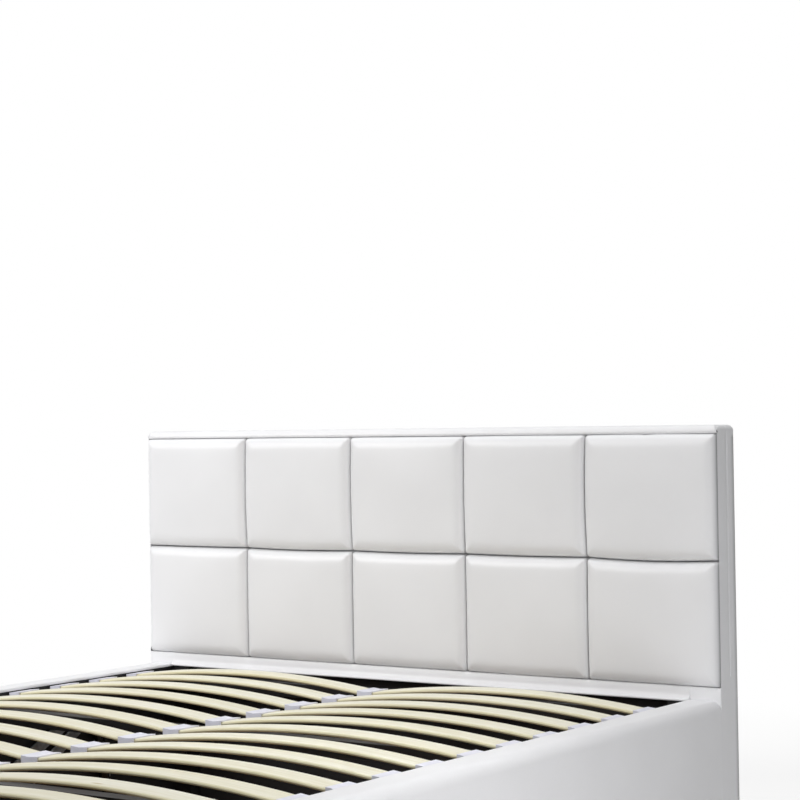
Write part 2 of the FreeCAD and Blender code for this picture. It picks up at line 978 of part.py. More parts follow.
def stud(pivot, seat, eye_outer, eye_inner):
    """A shouldered pin: collar on the seat, pin through the eye, head on the far side."""
    collar_end = eye_outer + side_play
    head_start = eye_inner - side_play
    head_end = head_start - pivot_head_thickness
    parts = [
        cross_bar(pivot_head_radius, (collar_end, seat), pivot),
        cross_bar(pivot_pin_radius, (head_start, collar_end), pivot),
        cross_bar(pivot_head_radius, (head_end, head_start), pivot),
    ]
    return fused(parts)


def base_pivot_pins():
    eye_outer = strut_plane + strut_eye_width / 2
    eye_inner = strut_plane - strut_eye_width / 2
    right = [
        stud(base_front_pivot, base_plate_face, inner_link_face, inner_link_face - link_thickness),
        stud(base_rear_pivot, base_plate_face, outer_link_face, outer_link_face - link_thickness),
        stud(strut_foot(), base_plate_face, eye_outer, eye_inner),
    ]
    return group(right + [other_side(each) for each in right])


def lid_plate():
    """The plate welded under the side tube, with the two upper pivots."""
    start = lid_rear_pivot[0] - lid_plate_margin
    end = lid_front_pivot[0] + lid_plate_margin
    low_rear = lid_rear_pivot[1] - lid_plate_margin
    low_front = lid_front_pivot[1] - lid_plate_margin
    outline = [
        (start, tube_bottom, 0),
        (start, low_rear, lid_plate_radius),
        (lid_rear_pivot[0] + lid_plate_margin, low_rear, lid_plate_radius),
        (end, low_front, lid_plate_radius),
        (end, tube_bottom, 0),
    ]
    x_range = (lid_plate_inner, lid_plate_face)
    return bored(prism(outline, along_x, x_range), open_pivot_radius, x_range, lid_rear_pivot)


def lid_pivot_pins():
    """The pins welded to the lid plates, through the front link and the strut's upper eye."""
    eye_outer = strut_plane + strut_eye_width / 2
    collar_end = inner_link_face - link_thickness - side_play
    head_start = eye_outer + side_play
    head_end = head_start + pivot_head_thickness
    parts = [
        cross_bar(pivot_head_radius, (lid_plate_face, collar_end), lid_front_pivot),
        cross_bar(pivot_pin_radius, (collar_end, head_start), lid_front_pivot),
        cross_bar(pivot_head_radius, (head_start, head_end), lid_front_pivot),
    ]
    return mirrored_pair(fused(parts))


def strut_eye():
    half = strut_eye_width / 2
    eye = cross_bar(strut_eye_radius, both_ways(half), (0, 0))
    return eye, cross_bar(pivot_pin_radius + pivot_clearance, both_ways(half + cut_overrun), (0, 0))


def upright(start, end, radius):
    return round_bar(radius, Vector(0, 0, start), Vector(0, 0, end))


def stand_between(shape, start, end):
    """Turn a piece built up along Z about its eye, so that it points from start to end."""
    angle = degrees(atan2(start[0] - end[0], end[1] - start[1]))
    shape.rotate(Vector(0, 0, 0), Vector(1, 0, 0), angle)
    shape.translate(Vector(strut_plane, *start))
    return shape


def strut_cylinder():
    end = strut_closed_length() - strut_cap_setback
    eye, bore = strut_eye()
    neck = upright(0, strut_foot_length, strut_neck_radius)
    body = fused([eye, neck, upright(strut_foot_length, end, strut_radius)])
    chamber = (strut_foot_length + strut_foot_wall, end - strut_cap_length)
    body = body.cut(upright(*chamber, strut_radius - strut_wall))
    body = body.cut(upright(end - strut_cap_length, end + cut_overrun, rod_radius + rod_guide_gap))
    return stand_between(body.cut(bore), strut_foot(), lid_front_pivot)


def strut_rod():
    length = strut_closed_length() - rod_tip_gap
    eye, bore = strut_eye()
    piston_radius = strut_radius - strut_wall - piston_gap
    parts = [
        eye,
        upright(0, rod_neck_length, strut_neck_radius),
        upright(rod_neck_length, length - piston_length, rod_radius),
        upright(length - piston_length, length, piston_radius),
    ]
    return stand_between(fused(parts).cut(bore), lid_front_pivot, strut_foot())


def build():
    os.makedirs("parts", exist_ok=True)
    save("headboard_quilted_face", quilted_face())
    save("headboard_border", headboard_border())
    save("headboard_wrap", headboard_wrap())
    save("headboard_frame", headboard_frame())
    save("headboard_board", headboard_board())
    save("headboard_lower_band", headboard_lower_band())
    save("headboard_legs", headboard_legs())
    save("headboard_back_cloth", headboard_back_cloth())
    save("head_end_lining", head_end_lining())

    save_pair("rail_cover", rail_cover())
    save_pair("rail_core", rail_core())
    save("rail_inner_panels", mirrored_pair(side_inner_panel()))
    save("foot_panel_cover", foot_panel_cover())
    save("foot_panel_core", foot_panel_core())
    save("foot_inner_panel", foot_inner_panel())
    save("foot_rest_blocks", foot_rest_blocks())
    save("corner_brackets", corner_brackets())
    save("screws", screws())
    save("floor_battens", floor_battens())
    save("floor_centre_beam", floor_centre_beam())
    save("floor_panels", floor_panels())
    save("base_feet", base_feet())
    save("floor_glides", group(headboard_glides() + centre_glides()))

    save("platform_side_tubes", mirrored_pair(platform_side_tube()))
    head_tube = platform_end_tube((platform_head - tube_size, platform_head))
    foot_tube = platform_end_tube((platform_foot, platform_foot + tube_size))
    save("platform_end_tubes", group([head_tube, foot_tube]))
    save("platform_centre_tube", platform_centre_tube())
    save("platform_cross_bars", platform_cross_bars())
    save_slat_rows()
    save("centre_slat_holders", group(at_rows(centre_holder())))
    right_holders = at_rows(side_holder())
    save("side_slat_holders", group(right_holders + [other_side(each) for each in right_holders]))
    save("mattress_stops", mattress_stops())
    save("pull_straps", pull_straps())

    save("base_plates", mirrored_pair(base_plate()))
    save("base_pivot_pins", base_pivot_pins())
    save("lid_plates", mirrored_pair(lid_plate()))
    save("lid_pivot_pins", lid_pivot_pins())
    save("front_links", mirrored_pair(front_link()))
    save("rear_links", mirrored_pair(rear_link()))
    save("rear_link_pins", mirrored_pair(rear_link_pin()))
    save_pair("strut_cylinder", strut_cylinder())
    save_pair("strut_rod", strut_rod())


build()
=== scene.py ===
import math

import bpy
import numpy as np
from mathutils import Matrix, Vector, noise


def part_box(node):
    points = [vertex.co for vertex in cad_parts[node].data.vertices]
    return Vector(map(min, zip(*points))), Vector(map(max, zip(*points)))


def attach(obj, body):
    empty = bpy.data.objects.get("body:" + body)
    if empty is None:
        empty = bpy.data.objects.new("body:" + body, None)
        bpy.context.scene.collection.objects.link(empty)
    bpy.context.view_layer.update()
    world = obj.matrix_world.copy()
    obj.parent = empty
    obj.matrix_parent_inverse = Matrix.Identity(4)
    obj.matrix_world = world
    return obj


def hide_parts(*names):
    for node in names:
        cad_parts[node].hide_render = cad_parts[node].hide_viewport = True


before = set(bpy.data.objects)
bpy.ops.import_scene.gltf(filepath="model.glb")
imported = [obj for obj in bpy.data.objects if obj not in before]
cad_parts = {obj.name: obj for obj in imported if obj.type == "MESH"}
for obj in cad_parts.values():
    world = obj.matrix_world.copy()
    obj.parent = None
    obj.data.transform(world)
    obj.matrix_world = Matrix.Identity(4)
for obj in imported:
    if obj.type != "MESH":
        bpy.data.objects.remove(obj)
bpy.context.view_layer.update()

# Timber: the frames inside the headboard, the rails and the foot panel, with the battens and the
# beam under the floor. They are sawn pine, glued and screwed, and hidden once the bed is covered.

timber_edge = 0.0015
timber_grain_depth = 0.0004
weld_distance = 0.00001
softening_steps = 2
softening_from_angle = 35


def new_finish(name, roughness, metal=0.0):
    """A finish with one surface, whose texture is added node by node."""
    finish = bpy.data.materials.new(name)
    finish.use_nodes = True
    surface = finish.node_tree.nodes["Principled BSDF"]
    surface.inputs["Roughness"].default_value = roughness
    surface.inputs["Metallic"].default_value = metal
    return finish


def add(finish, kind, inputs=(), **settings):
    """Add a node. Each input is given as a value, or as the output that feeds it."""
    node = finish.node_tree.nodes.new("ShaderNode" + kind)
    for name, value in settings.items():
        setattr(node, name, value)
    for name, value in dict(inputs).items():
        if isinstance(value, bpy.types.NodeSocket):
            finish.node_tree.links.new(value, node.inputs[name])
        else:
            node.inputs[name].default_value = value
    return node


def feed(finish, socket_name, output):
    surface = finish.node_tree.nodes["Principled BSDF"]
    finish.node_tree.links.new(output, surface.inputs[socket_name])


def paint(hex_code):
    """A colour written as it looks, in the linear values that the surface takes."""
    parts = [int(hex_code[i:i + 2], 16) / 255 for i in (1, 3, 5)]
    return [p / 12.92 if p <= 0.04045 else ((p + 0.055) / 1.055) ** 2.4 for p in parts] + [1.0]


def stretched_place(finish, scale=(1.0, 1.0, 1.0)):
    """Where a point is on the object, in metres, scaled along each axis."""
    place = add(finish, "TexCoord").outputs["Object"]
    return add(finish, "Mapping", {"Vector": place, "Scale": scale}).outputs["Vector"]


def mottle(finish, place, scale, detail=3.0, rough=0.5):
    inputs = {"Vector": place, "Scale": scale, "Detail": detail, "Roughness": rough}
    return add(finish, "TexNoise", inputs).outputs["Fac"]


def between(finish, amount, colours, ends=(0.3, 0.7)):
    """Colours spread evenly over the middle of a texture's range."""
    ramp = add(finish, "ValToRGB", {"Fac": amount})
    stops = ramp.color_ramp.elements
    while len(stops) < len(colours):
        stops.new(0.5)
    for i, colour in enumerate(colours):
        stops[i].position = ends[0] + (ends[1] - ends[0]) * i / (len(colours) - 1)
        stops[i].color = paint(colour)
    return ramp.outputs["Color"]


def tint(finish, amount, colours, ends=(0.3, 0.7)):
    feed(finish, "Base Color", between(finish, amount, colours, ends))


def relief(finish, *layers):
    """Bumps in metres, each layer given as its height texture and its depth."""
    normal = None
    for height, depth in layers:
        inputs = {"Height": height, "Distance": depth, "Strength": 1.0}
        if normal:
            inputs["Normal"] = normal
        normal = add(finish, "Bump", inputs).outputs["Normal"]
    feed(finish, "Normal", normal)


def varied_roughness(finish, amount, low, high):
    inputs = {"Value": amount, "To Min": low, "To Max": high}
    feed(finish, "Roughness", add(finish, "MapRange", inputs).outputs["Result"])


def dress(finish, *nodes, edge):
    """Give the frame's own pieces a finish, and soften their edges."""
    for name in nodes:
        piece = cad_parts[name]
        for seat in piece.material_slots:
            seat.material = finish
        piece.modifiers.new("joined", "WELD").merge_threshold = weld_distance
        bevel = piece.modifiers.new("softened", "BEVEL")
        bevel.width = edge
        bevel.segments = softening_steps
        bevel.limit_method = "ANGLE"
        bevel.angle_limit = math.radians(softening_from_angle)
        bevel.harden_normals = True


pine = new_finish("sawn pine", roughness=0.62)
along_grain = stretched_place(pine, scale=(3.0, 22.0, 22.0))
pine_rings = mottle(pine, along_grain, scale=6.0, detail=5.0, rough=0.6)
tint(pine, pine_rings, ("#b98d58", "#d3ab76", "#e2c295"))
relief(pine, (mottle(pine, along_grain, scale=40.0), timber_grain_depth))
dress(pine, "headboard_frame", "left_rail_core", "right_rail_core", edge=timber_edge)
dress(pine, "foot_panel_core", "floor_battens", "floor_centre_beam", edge=timber_edge)

# The headboard's board and the storage floor: thin fibreboard, smooth on its face and soft at
# its edges. The board is stapled to the timber frame and the floor panels lie on the battens.

thin_board_edge = 0.0006
fibre_depth = 0.00012

fibreboard = new_finish("thin fibreboard", roughness=0.55)
fibres = mottle(fibreboard, stretched_place(fibreboard), scale=320.0, detail=6.0, rough=0.7)
tint(fibreboard, fibres, ("#7d5f3e", "#977651", "#a98860"))
relief(fibreboard, (fibres, fibre_depth))
dress(fibreboard, "headboard_board", "floor_panels", edge=thin_board_edge)

# The box's inner panels, the platform's rest blocks and the headboard's leg blocks: board with a
# black melamine face, faintly grained, screwed to the timber behind it.

faced_board_edge = 0.0008
melamine_depth = 0.00008

black_board = new_finish("black faced board", roughness=0.5)
along_board = stretched_place(black_board, scale=(18.0, 1.6, 18.0))
melamine = mottle(black_board, along_board, scale=14.0, detail=5.0, rough=0.65)
tint(black_board, melamine, ("#0b0a0b", "#131213", "#1a181a"))
varied_roughness(black_board, melamine, low=0.42, high=0.6)
relief(black_board, (melamine, melamine_depth))
dress(black_board, "rail_inner_panels", "foot_inner_panel", edge=faced_board_edge)
dress(black_board, "foot_rest_blocks", "headboard_legs", edge=faced_board_edge)

# The headboard's quilted face: white coated leather cloth over foam, sewn through in five columns
# and two rows. Each square swells between its seams, and the seams wander where the cloth pulls.

quilt_low, quilt_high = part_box("headboard_quilted_face")
seam_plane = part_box("headboard_border")[0].y
quilt_side_reach = 0.0038
quilt_top_drop = 0.0020
quilt_half = quilt_high.x + quilt_side_reach
quilt_top = quilt_high.z - quilt_top_drop
quilt_columns = 5
quilt_rows = 2
lower_row_share = 0.496
steps_across_square = 54
crowding_share = 0.9
pad_swell = 0.0118
pad_belly = 0.0022
pad_roll = 0.027
pad_roll_fullness = 2.2
square_corner = 0.007
seam_depth = 0.0095
seam_pinch = 0.0013
seam_hollow = 0.0047
seam_hollow_reach = 0.0080
side_groove = 0.006
side_groove_reach = 0.0020
pucker_height = 0.0007
pucker_reach = 0.016
pucker_spacing = 0.016
pucker_fade = 0.004
ripple_height = 0.0007
ripple_spacing = 0.11
# How far each seam bows out of line at its middle, in metres, as the photograph shows it
upright_bows = ((-0.0005, -0.0010, 0.0005, -0.0008), (-0.0030, -0.0022, -0.0015, -0.0034))
level_bows = (
    (-0.0008, -0.0010, -0.0006, -0.0012, -0.0006),
    (-0.0004, -0.0022, -0.0016, -0.0012, -0.0040),
    (0.0, 0.0004, 0.0, 0.0006, 0.0010),
)
# A small nick where the cloth is caught in the top seam of the last square
nick_depth = 0.0014
nick_place_share = 0.47
nick_width_share = 0.03
# Painted shade: the cloth's colour is darkened where it goes down into a seam, and hardly at all in the lit
# top seam
painted_shade_colour = "#5c5c5e"
painted_seam_shade_share = 0.45
painted_top_shade_share = 0.12
painted_top_shade_reach = 0.012
leather_crease_depth = 0.00010
leather_grain_depth = 0.00005


def leather(name, light, deep):
    """White coated cloth: a fine pressed grain, a slow drift of tone, a satin face, and painted shade, a grey
    mixed into the colour wherever a piece marks it.
    """
    finish = new_finish(name, roughness=0.36)
    place = stretched_place(finish)
    drift = mottle(finish, place, scale=5.0, detail=2.0)
    # Painted shade: each point's marked amount mixes the cloth's colour toward grey
    painted_shade = add(finish, "Attribute", attribute_name="painted_shade").outputs["Fac"]
    painted_shade_mix = {"Factor": painted_shade, "A": between(finish, drift, (deep, light)), "B": paint(painted_shade_colour)}
    feed(finish, "Base Color", add(finish, "Mix", painted_shade_mix, data_type="RGBA").outputs["Result"])
    grain_cells = {"Vector": place, "Scale": 820.0, "Randomness": 1.0}
    grain = add(finish, "TexVoronoi", grain_cells).outputs["Distance"]
    creases = mottle(finish, place, scale=240.0, detail=4.0, rough=0.6)
    varied_roughness(finish, mottle(finish, place, scale=60.0), low=0.33, high=0.42)
    relief(finish, (creases, leather_crease_depth), (grain, leather_grain_depth))
    finish.node_tree.nodes["Principled BSDF"].inputs["Specular IOR Level"].default_value = 0.42
    return finish


def build(name, points, faces, finish, body, slot, nodes, crease):
    """Make a piece of mesh, smooth but for its creases, that rides on a body of the frame."""
    mesh = bpy.data.meshes.new(name)
    mesh.from_pydata([tuple(p) for p in points], [], faces)
    mesh.polygons.foreach_set("use_smooth", [True] * len(mesh.polygons))
    mesh.set_sharp_from_angle(angle=math.radians(crease))
    mesh.materials.append(finish)
    piece = bpy.data.objects.new(name, mesh)
    bpy.context.scene.collection.objects.link(piece)
    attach(piece, body)
    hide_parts(*nodes)
    return piece


def mark(piece, attribute, amounts):
    """Give each point of a piece an amount, which its finish reads."""
    piece.data.attributes.new(attribute, "FLOAT", "POINT").data.foreach_set("value", amounts)


def grid_faces(rows, columns):
    """Faces over a grid of points that is listed row by row."""
    starts = [r * columns + c for r in range(rows - 1) for c in range(columns - 1)]
    return [(a, a + 1, a + columns + 1, a + columns) for a in starts]


def grid_rim(rows, columns):
    """The points round the edge of such a grid."""
    rim = list(range(columns)) + [r * columns + columns - 1 for r in range(1, rows)]
    rim += [(rows - 1) * columns + c for c in range(columns - 2, -1, -1)]
    return rim + [r * columns for r in range(rows - 2, 0, -1)]


def crowded(count):
    """Steps from 0 to 1 that lie closer together at both ends."""
    even = np.linspace(0, 1, count + 1)
    return even - crowding_share * np.sin(2 * np.pi * even) / (2 * np.pi)


def soft_noise(points, scale, seed):
    shift = Vector((seed, seed * 0.7, seed * 1.3))
    return np.array([noise.noise(Vector(p) / scale + shift) for p in points])


def square_rise(across, up, width, height):
    """How far the cloth stands out, and how far it is from a seam, at a place on a square."""
    reach_x = np.abs(across) - width / 2 + square_corner
    reach_z = np.abs(up) - height / 2 + square_corner
    outside = np.hypot(np.maximum(reach_x, 0), np.maximum(reach_z, 0))
    from_seam = square_corner - outside - np.minimum(np.maximum(reach_x, reach_z), 0)
    rolled = np.clip(from_seam / pad_roll, 0, 1)
    roll = np.sqrt(1 - (1 - rolled) ** pad_roll_fullness)
    apart = np.maximum(from_seam, 0)
    pinch = seam_depth * np.exp(-apart / seam_pinch) + seam_hollow * np.exp(-apart / seam_hollow_reach)
    belly = (1 - (2 * across / width) ** 2) * (1 - (2 * up / height) ** 2)
    return pad_swell * roll - pinch + pad_belly * belly, from_seam


def quilted_grid():
    """The quilted front, row by row: each point's x and z, its rise and its way from a seam."""
    steps = crowded(steps_across_square)
    pitch = 2 * quilt_half / quilt_columns
    middle = quilt_low.z + (quilt_high.z - quilt_low.z) * lower_row_share
    levels = (quilt_low.z, middle, quilt_top)
    rows = []
    for row in range(quilt_rows):
        height = levels[row + 1] - levels[row]
        for up in steps if row == 0 else steps[1:]:
            line = []
            for column in range(quilt_columns):
                left = pitch * column - quilt_half
                last_column = column == quilt_columns - 1
                for across in steps if column == 0 else steps[1:]:
                    wave_up, wave_across = math.sin(math.pi * up), math.sin(math.pi * across)
                    bow_left = upright_bows[row][column - 1] if column else 0
                    bow_right = 0 if last_column else upright_bows[row][column]
                    low_bow, high_bow = level_bows[row][column], level_bows[row + 1][column]
                    shift_x = wave_up * (bow_left * (1 - across) + bow_right * across)
                    shift_z = wave_across * (low_bow * (1 - up) + high_bow * up)
                    if row == 1 and last_column:
                        from_nick = (across - nick_place_share) / nick_width_share
                        shift_z -= nick_depth * up * math.exp(-(from_nick**2))
                    x, z = (across - 0.5) * pitch, (up - 0.5) * height
                    rise, from_seam = square_rise(x, z, pitch, height)
                    place_x, place_z = left + pitch * across, levels[row] + height * up
                    line.append((place_x + shift_x, place_z + shift_z, rise, from_seam))
            rows.append(line)
    return np.array(rows)


def painted_shade_near(distance, strength, reach, start):
    """How much painted shade the cloth gets, from 0 to 1, at a distance from where it goes into a seam."""
    return np.clip(strength * np.exp(-distance / reach) - start, 0, 1)


grid = quilted_grid()
row_count, column_count = grid.shape[:2]
grid_x, grid_z, grid_rise, grid_from_seam = grid.reshape(-1, 4).T
grid_places = np.column_stack((grid_x, np.zeros(len(grid_x)), grid_z))
grid_apart = np.maximum(grid_from_seam, 0)
near_seam = np.exp(-grid_apart / pucker_reach) * np.clip(grid_from_seam / pucker_fade, 0, 1)
puckers = soft_noise(grid_places, pucker_spacing, seed=3.0) * near_seam * pucker_height
rippled = np.clip(grid_from_seam / pad_roll, 0, 1)
ripples = soft_noise(grid_places, ripple_spacing, seed=8.0) * rippled * ripple_height
grooves = side_groove * np.exp(-(quilt_half - np.abs(grid_x)) / side_groove_reach)
grid_y = seam_plane - grid_rise - puckers - ripples + grooves
front = [Vector(place) for place in zip(grid_x, grid_y, grid_z)]
rim = grid_rim(row_count, column_count)
behind = [Vector((front[i].x, quilt_high.y, front[i].z)) for i in rim]
behind_rim = range(len(front), len(front) + len(rim))
quilted_faces = grid_faces(row_count, column_count)
for i in range(len(rim)):
    after = (i + 1) % len(rim)
    quilted_faces.append((rim[i], behind_rim[i], behind_rim[after], rim[after]))
quilted_faces.append(tuple(reversed(behind_rim)))

white_leather = leather("white leather cloth", light="#efeff1", deep="#eaeaec")
quilted_face = build(
    "quilted_face", front + behind, quilted_faces, white_leather, "root", "white_leather",
    ["headboard_quilted_face"], crease=70,
)
# Painted shade on the quilted face: darker colour in the crevice at each side and along the seams, and full
# shade on its hidden back
painted_side_shade = painted_shade_near(quilt_half - np.abs(grid_x), strength=2.2, reach=0.0017, start=0.30)
painted_seam_shade = painted_shade_near(grid_apart, strength=1.6, reach=0.0014, start=0.2)
painted_seam_shade *= np.where(grid_z > quilt_top - painted_top_shade_reach, painted_top_shade_share, painted_seam_shade_share)
mark(quilted_face, "painted_shade", list(np.maximum(painted_side_shade, painted_seam_shade)) + [1.0] * len(behind))

# The edge band round the quilted face, and the cover of the headboard's rear half. Both are strips
# of the same cloth over thin foam, pulled round the board and the timber frame, with a folded
# mitre at each top corner and a seam where they meet.

band_low, band_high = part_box("headboard_border")
wrap_low, wrap_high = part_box("headboard_wrap")
corner_radius = 0.011
corner_steps = 14
top_steps = 110
band_depth = band_high.y - seam_plane
band_lap = 0.0001
band_swell = 0.0003
band_swell_spacing = 0.05
flat_inset = 0.0006
seam_end_gap = 0.0004
wrap_edge = 0.010
wrap_side_edge = 0.0045
wrap_cloth = 0.003
wrap_fold = 0.025
wrap_hem_share = 0.6
wrap_top_ease_share = 0.6
# Below this line, which climbs backwards, the two strips are one flat surface
crease_height = 0.3797
crease_slope = 0.287
crease_softness = 0.005
# The fold at a top corner: a soft ridge and a crease beside it, as place, width and height
corner_pleats = ((0.40, 0.16, 0.0018), (0.70, 0.07, -0.0042))
pleated_places = range(2, 10)
loose_places = range(5, 11)
# How much painted shade the cloth gets at the first places of a ring, where it goes into the side seam
band_painted_shade = (1.0, 1.0, 1.0, 0.8, 0.2)
# Painted shade in the same way, where the cover turns to the back
wrap_painted_shade = (0.0,) * 7 + (0.25, 0.55, 0.75, 0.85, 0.6, 0.3)


def both_sides(right, middle):
    """Stations of the right side, then the middle one, then the right ones mirrored."""
    flip = Vector((-1, 1, 1))
    left = [(inner * flip, outer * flip, share) for inner, outer, share in reversed(right)]
    return right + [middle] + left


def arch_stations(inner_half, inner_top):
    """Pairs of an inner and an outer point, up one side, over the top and down the other."""
    half, top = band_high.x, band_high.z
    centre = Vector((half - corner_radius, 0, top - corner_radius))
    # Stretches of height with their number of places, closest where the crease crosses the side
    spans = ((band_low.z, 0.355, 14), (0.360, 0.373, 6), (0.3738, 0.415, 34), (0.42, centre.z - 0.004, 46))
    right = []
    for start, end, count in spans:
        for z in np.linspace(start, end, count):
            right.append((Vector((inner_half, 0, min(z, inner_top))), Vector((half, 0, z)), 0.0))
    for step in range(corner_steps + 1):
        turn = math.pi / 2 * step / corner_steps
        outer = centre + Vector((math.cos(turn), 0, math.sin(turn))) * corner_radius
        right.append((Vector((inner_half, 0, inner_top)), outer, step / corner_steps))
    for x in np.linspace(centre.x, 0, top_steps // 2, endpoint=False)[1:]:
        right.append((Vector((min(x, inner_half), 0, inner_top)), Vector((x, 0, top)), 1.0))
    return both_sides(right, (Vector((0, 0, inner_top)), Vector((0, 0, top)), 1.0))


def above_crease(height, depth):
    """0 on the flat surface below the crease and 1 above it."""
    share = (height - crease_height - crease_slope * depth) / crease_softness
    share = min(max(share, 0), 1)
    return share * share * (3 - 2 * share)


def skin(rings, closed=False):
    """Faces over a row of rings of points, with the two ends closed."""
    size = len(rings[0])
    points = [p for ring in rings for p in ring]
    faces = []
    last = len(rings) if closed else len(rings) - 1
    for r in range(last):
        after = (r + 1) % len(rings)
        for c in range(size):
            d = (c + 1) % size
            faces.append((r * size + c, r * size + d, after * size + d, after * size + c))
    if not closed:
        faces.append(tuple(range(size - 1, -1, -1)))
        faces.append(tuple(range(len(points) - size, len(points))))
    return points, faces


def upholster(name, rings, node, crease=60):
    """A padded piece in white leather cloth, skinned over its rings and fixed to the box."""
    piece = build(name, *skin(rings), white_leather, "root", "white_leather", [node], crease=crease)
    return piece


def paint_shade_at_sides(piece, rings, painted_shades, probe, low, high):
    """Paint shade on the first places of the rings that stand at the sides between two heights."""
    amounts = []
    for ring in rings:
        at_side = low < ring[probe].z < high and abs(ring[probe].x) > quilt_half
        amounts += [painted_shade * at_side for painted_shade in painted_shades] + [0.0] * (len(ring) - len(painted_shades))
    mark(piece, "painted_shade", amounts)


def quarter(count):
    return [math.pi / 2 * step / count for step in range(count + 1)]


def corner_pleat(share):
    """How far the fold stands out, at a share of the way round a top corner."""
    if not 0 < share < 1:
        return 0.0
    return sum(height * math.exp(-(((share - place) / width) ** 2)) for place, width, height in corner_pleats)


def placed(inner, outer, share_in, inset, depth):
    way_in = (inner - outer).normalized()
    place = outer.lerp(inner, share_in) + way_in * inset
    return Vector((place.x, seam_plane + depth, place.z))


# Each place on the band's section: its share of the way in to the seam, its inset and its depth.
# Upright, the padded side swells between the seam and the groove before the rear cover.
seam_wall = [(1, 0.0, 0.0145), (1, 0.0, 0.0060)]
side_swell = [(0, 0.0026, 0.0036), (0, 0.0024, 0.0034), (0, 0.0022, 0.0044), (0, 0.0017, 0.0075)]
side_swell += [(0, 0.0009, 0.0130), (0, 0.0003, 0.0185), (0, 0.0, 0.0235), (0, 0.0001, 0.0285)]
side_swell += [(0, 0.0009, 0.0345), (0, 0.0018, 0.0385), (0, 0.0032, band_depth)]
flat_wall = [(1, 0.0, 0.0012), (1, 0.0, 0.00004)]
flat_side = [(0, flat_inset + 0.0014 * (1 - math.sin(t)), 0.0025 * (1 - math.cos(t))) for t in quarter(5)]
flat_side += [(0, flat_inset, band_depth * share) for share in (0.25, 0.45, 0.65, 0.85, 1.0)]
top_wall = [(1, 0.0, 0.0125), (1, 0.0, 0.0016)]
top_roll = [(0, 0.0134 * (1 - math.sin(t)), 0.012 * (1 - math.cos(t))) for t in quarter(7)]
top_roll += [(0, 0.0, 0.022), (0, 0.0004, 0.035), (0, 0.0022, band_depth)]

band_rings = []
for inner, outer, share in arch_stations(quilt_half + band_lap, quilt_top):
    swell = band_swell * noise.noise(Vector((outer.x, 0.3, outer.z)) / band_swell_spacing)
    above_seam_end = float(outer.z > quilt_low.z + seam_end_gap)
    sections = zip(flat_wall + flat_side, seam_wall + side_swell, top_wall + top_roll)
    ring = []
    for i, (flat, side, top) in enumerate(sections):
        raised = above_seam_end if i < len(seam_wall) else above_crease(outer.z, side[2])
        mixed = [f + (d - f) * raised for f, d in zip(flat, side)]
        share_in, inset, depth = [d + (t - d) * share for d, t in zip(mixed, top)]
        pleat = corner_pleat(share) if i in pleated_places else 0.0
        loose = swell if i in loose_places else 0.0
        ring.append(placed(inner, outer, share_in, inset - loose, depth - pleat))
    ring.append(placed(inner, outer, 1, 0.0, band_depth))
    band_rings.append(ring)
edge_band = upholster("edge_band", band_rings, "headboard_border")
paint_shade_at_sides(edge_band, band_rings, band_painted_shade, probe=2, low=quilt_low.z, high=math.inf)

# From the groove back, the cover falls away a little before it rolls round to the back
wrap_falls = [(0.0001, 0.0026), (0.0010, 0.0018), (0.0025, 0.0010), (0.0050, 0.0004)]
wrap_falls += [(0.0090, 0.0002), (0.0150, 0.0007), (0.0205, 0.0012)]
wrap_rings = []
for inner, outer, share in arch_stations(band_high.x - wrap_fold, band_high.z - wrap_fold):
    reach = (outer - inner).length
    eased = 1 - wrap_top_ease_share * share
    section = [(1 - wrap_cloth / reach, wrap_low.y)]
    for along, fall in wrap_falls:
        raised = above_crease(outer.z, band_depth + along)
        fall = flat_inset + (fall - flat_inset) * raised
        section.append((1 - fall * eased / reach, wrap_low.y + along))
    bend = wrap_side_edge + (wrap_edge - wrap_side_edge) * share
    last_fall = wrap_falls[-1][1] * eased
    for turn in quarter(8):
        inset = last_fall + (bend - last_fall) * (1 - math.cos(turn))
        section.append((1 - inset / reach, wrap_high.y - bend * (1 - math.sin(turn))))
    section += [(0.0, wrap_high.y), (0.0, wrap_high.y - wrap_cloth * wrap_hem_share)]
    inner_bend = bend - wrap_cloth
    for turn in reversed(quarter(5)):
        inset = wrap_cloth + inner_bend * (1 - math.cos(turn))
        depth = wrap_high.y - wrap_cloth - inner_bend * (1 - math.sin(turn))
        section.append((1 - inset / reach, depth))
    wrap_rings.append([Vector((*(inner.lerp(outer, s).xz), d)).xzy for s, d in section])
rear_wrap = upholster("rear_wrap", wrap_rings, "headboard_wrap")
paint_shade_at_sides(rear_wrap, wrap_rings, wrap_painted_shade, probe=8, low=0.0, high=quilt_top)

# The band below the quilting: the same cloth over the lower edge of the board, with a small
# padded ledge that the mattress meets. Its lower edge is turned under against the black lining.

ledge_low, ledge_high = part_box("headboard_lower_band")
ledge_end_gap = 0.0005
ledge_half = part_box("right_rail_cover")[0].x - ledge_end_gap
ledge_reach = seam_plane - ledge_low.y
ledge_lip = 0.004
ledge_lip_roll = 0.0019
ledge_slope = 0.010
ledge_top_gap = 0.003
ledge_end_roll = 0.0025
ledge_end_share = 0.55
ledge_wave = 0.0005
ledge_wave_spacing = 0.06
ledge_steps = 180
face_tilt_share = 0.12
ledge_root_share = 0.15
ledge_out_share = 0.79
lip_curl_share = 0.06
lip_under = 0.0006
lip_under_share = 0.3
ledge_back_strip = 0.01
# Where the cloth turns in at the seam: how far behind it, and how far down
seam_turn = ((0.0030, 0.0), (0.0010, 0.0004), (0.0, 0.0024))
# Behind the rails' rounded corners the cloth goes on down
tail_start = 0.690
tail_step = 0.001
tail_drop = 0.048
tail_proud = 0.0004
ledge_end_step = 0.0002


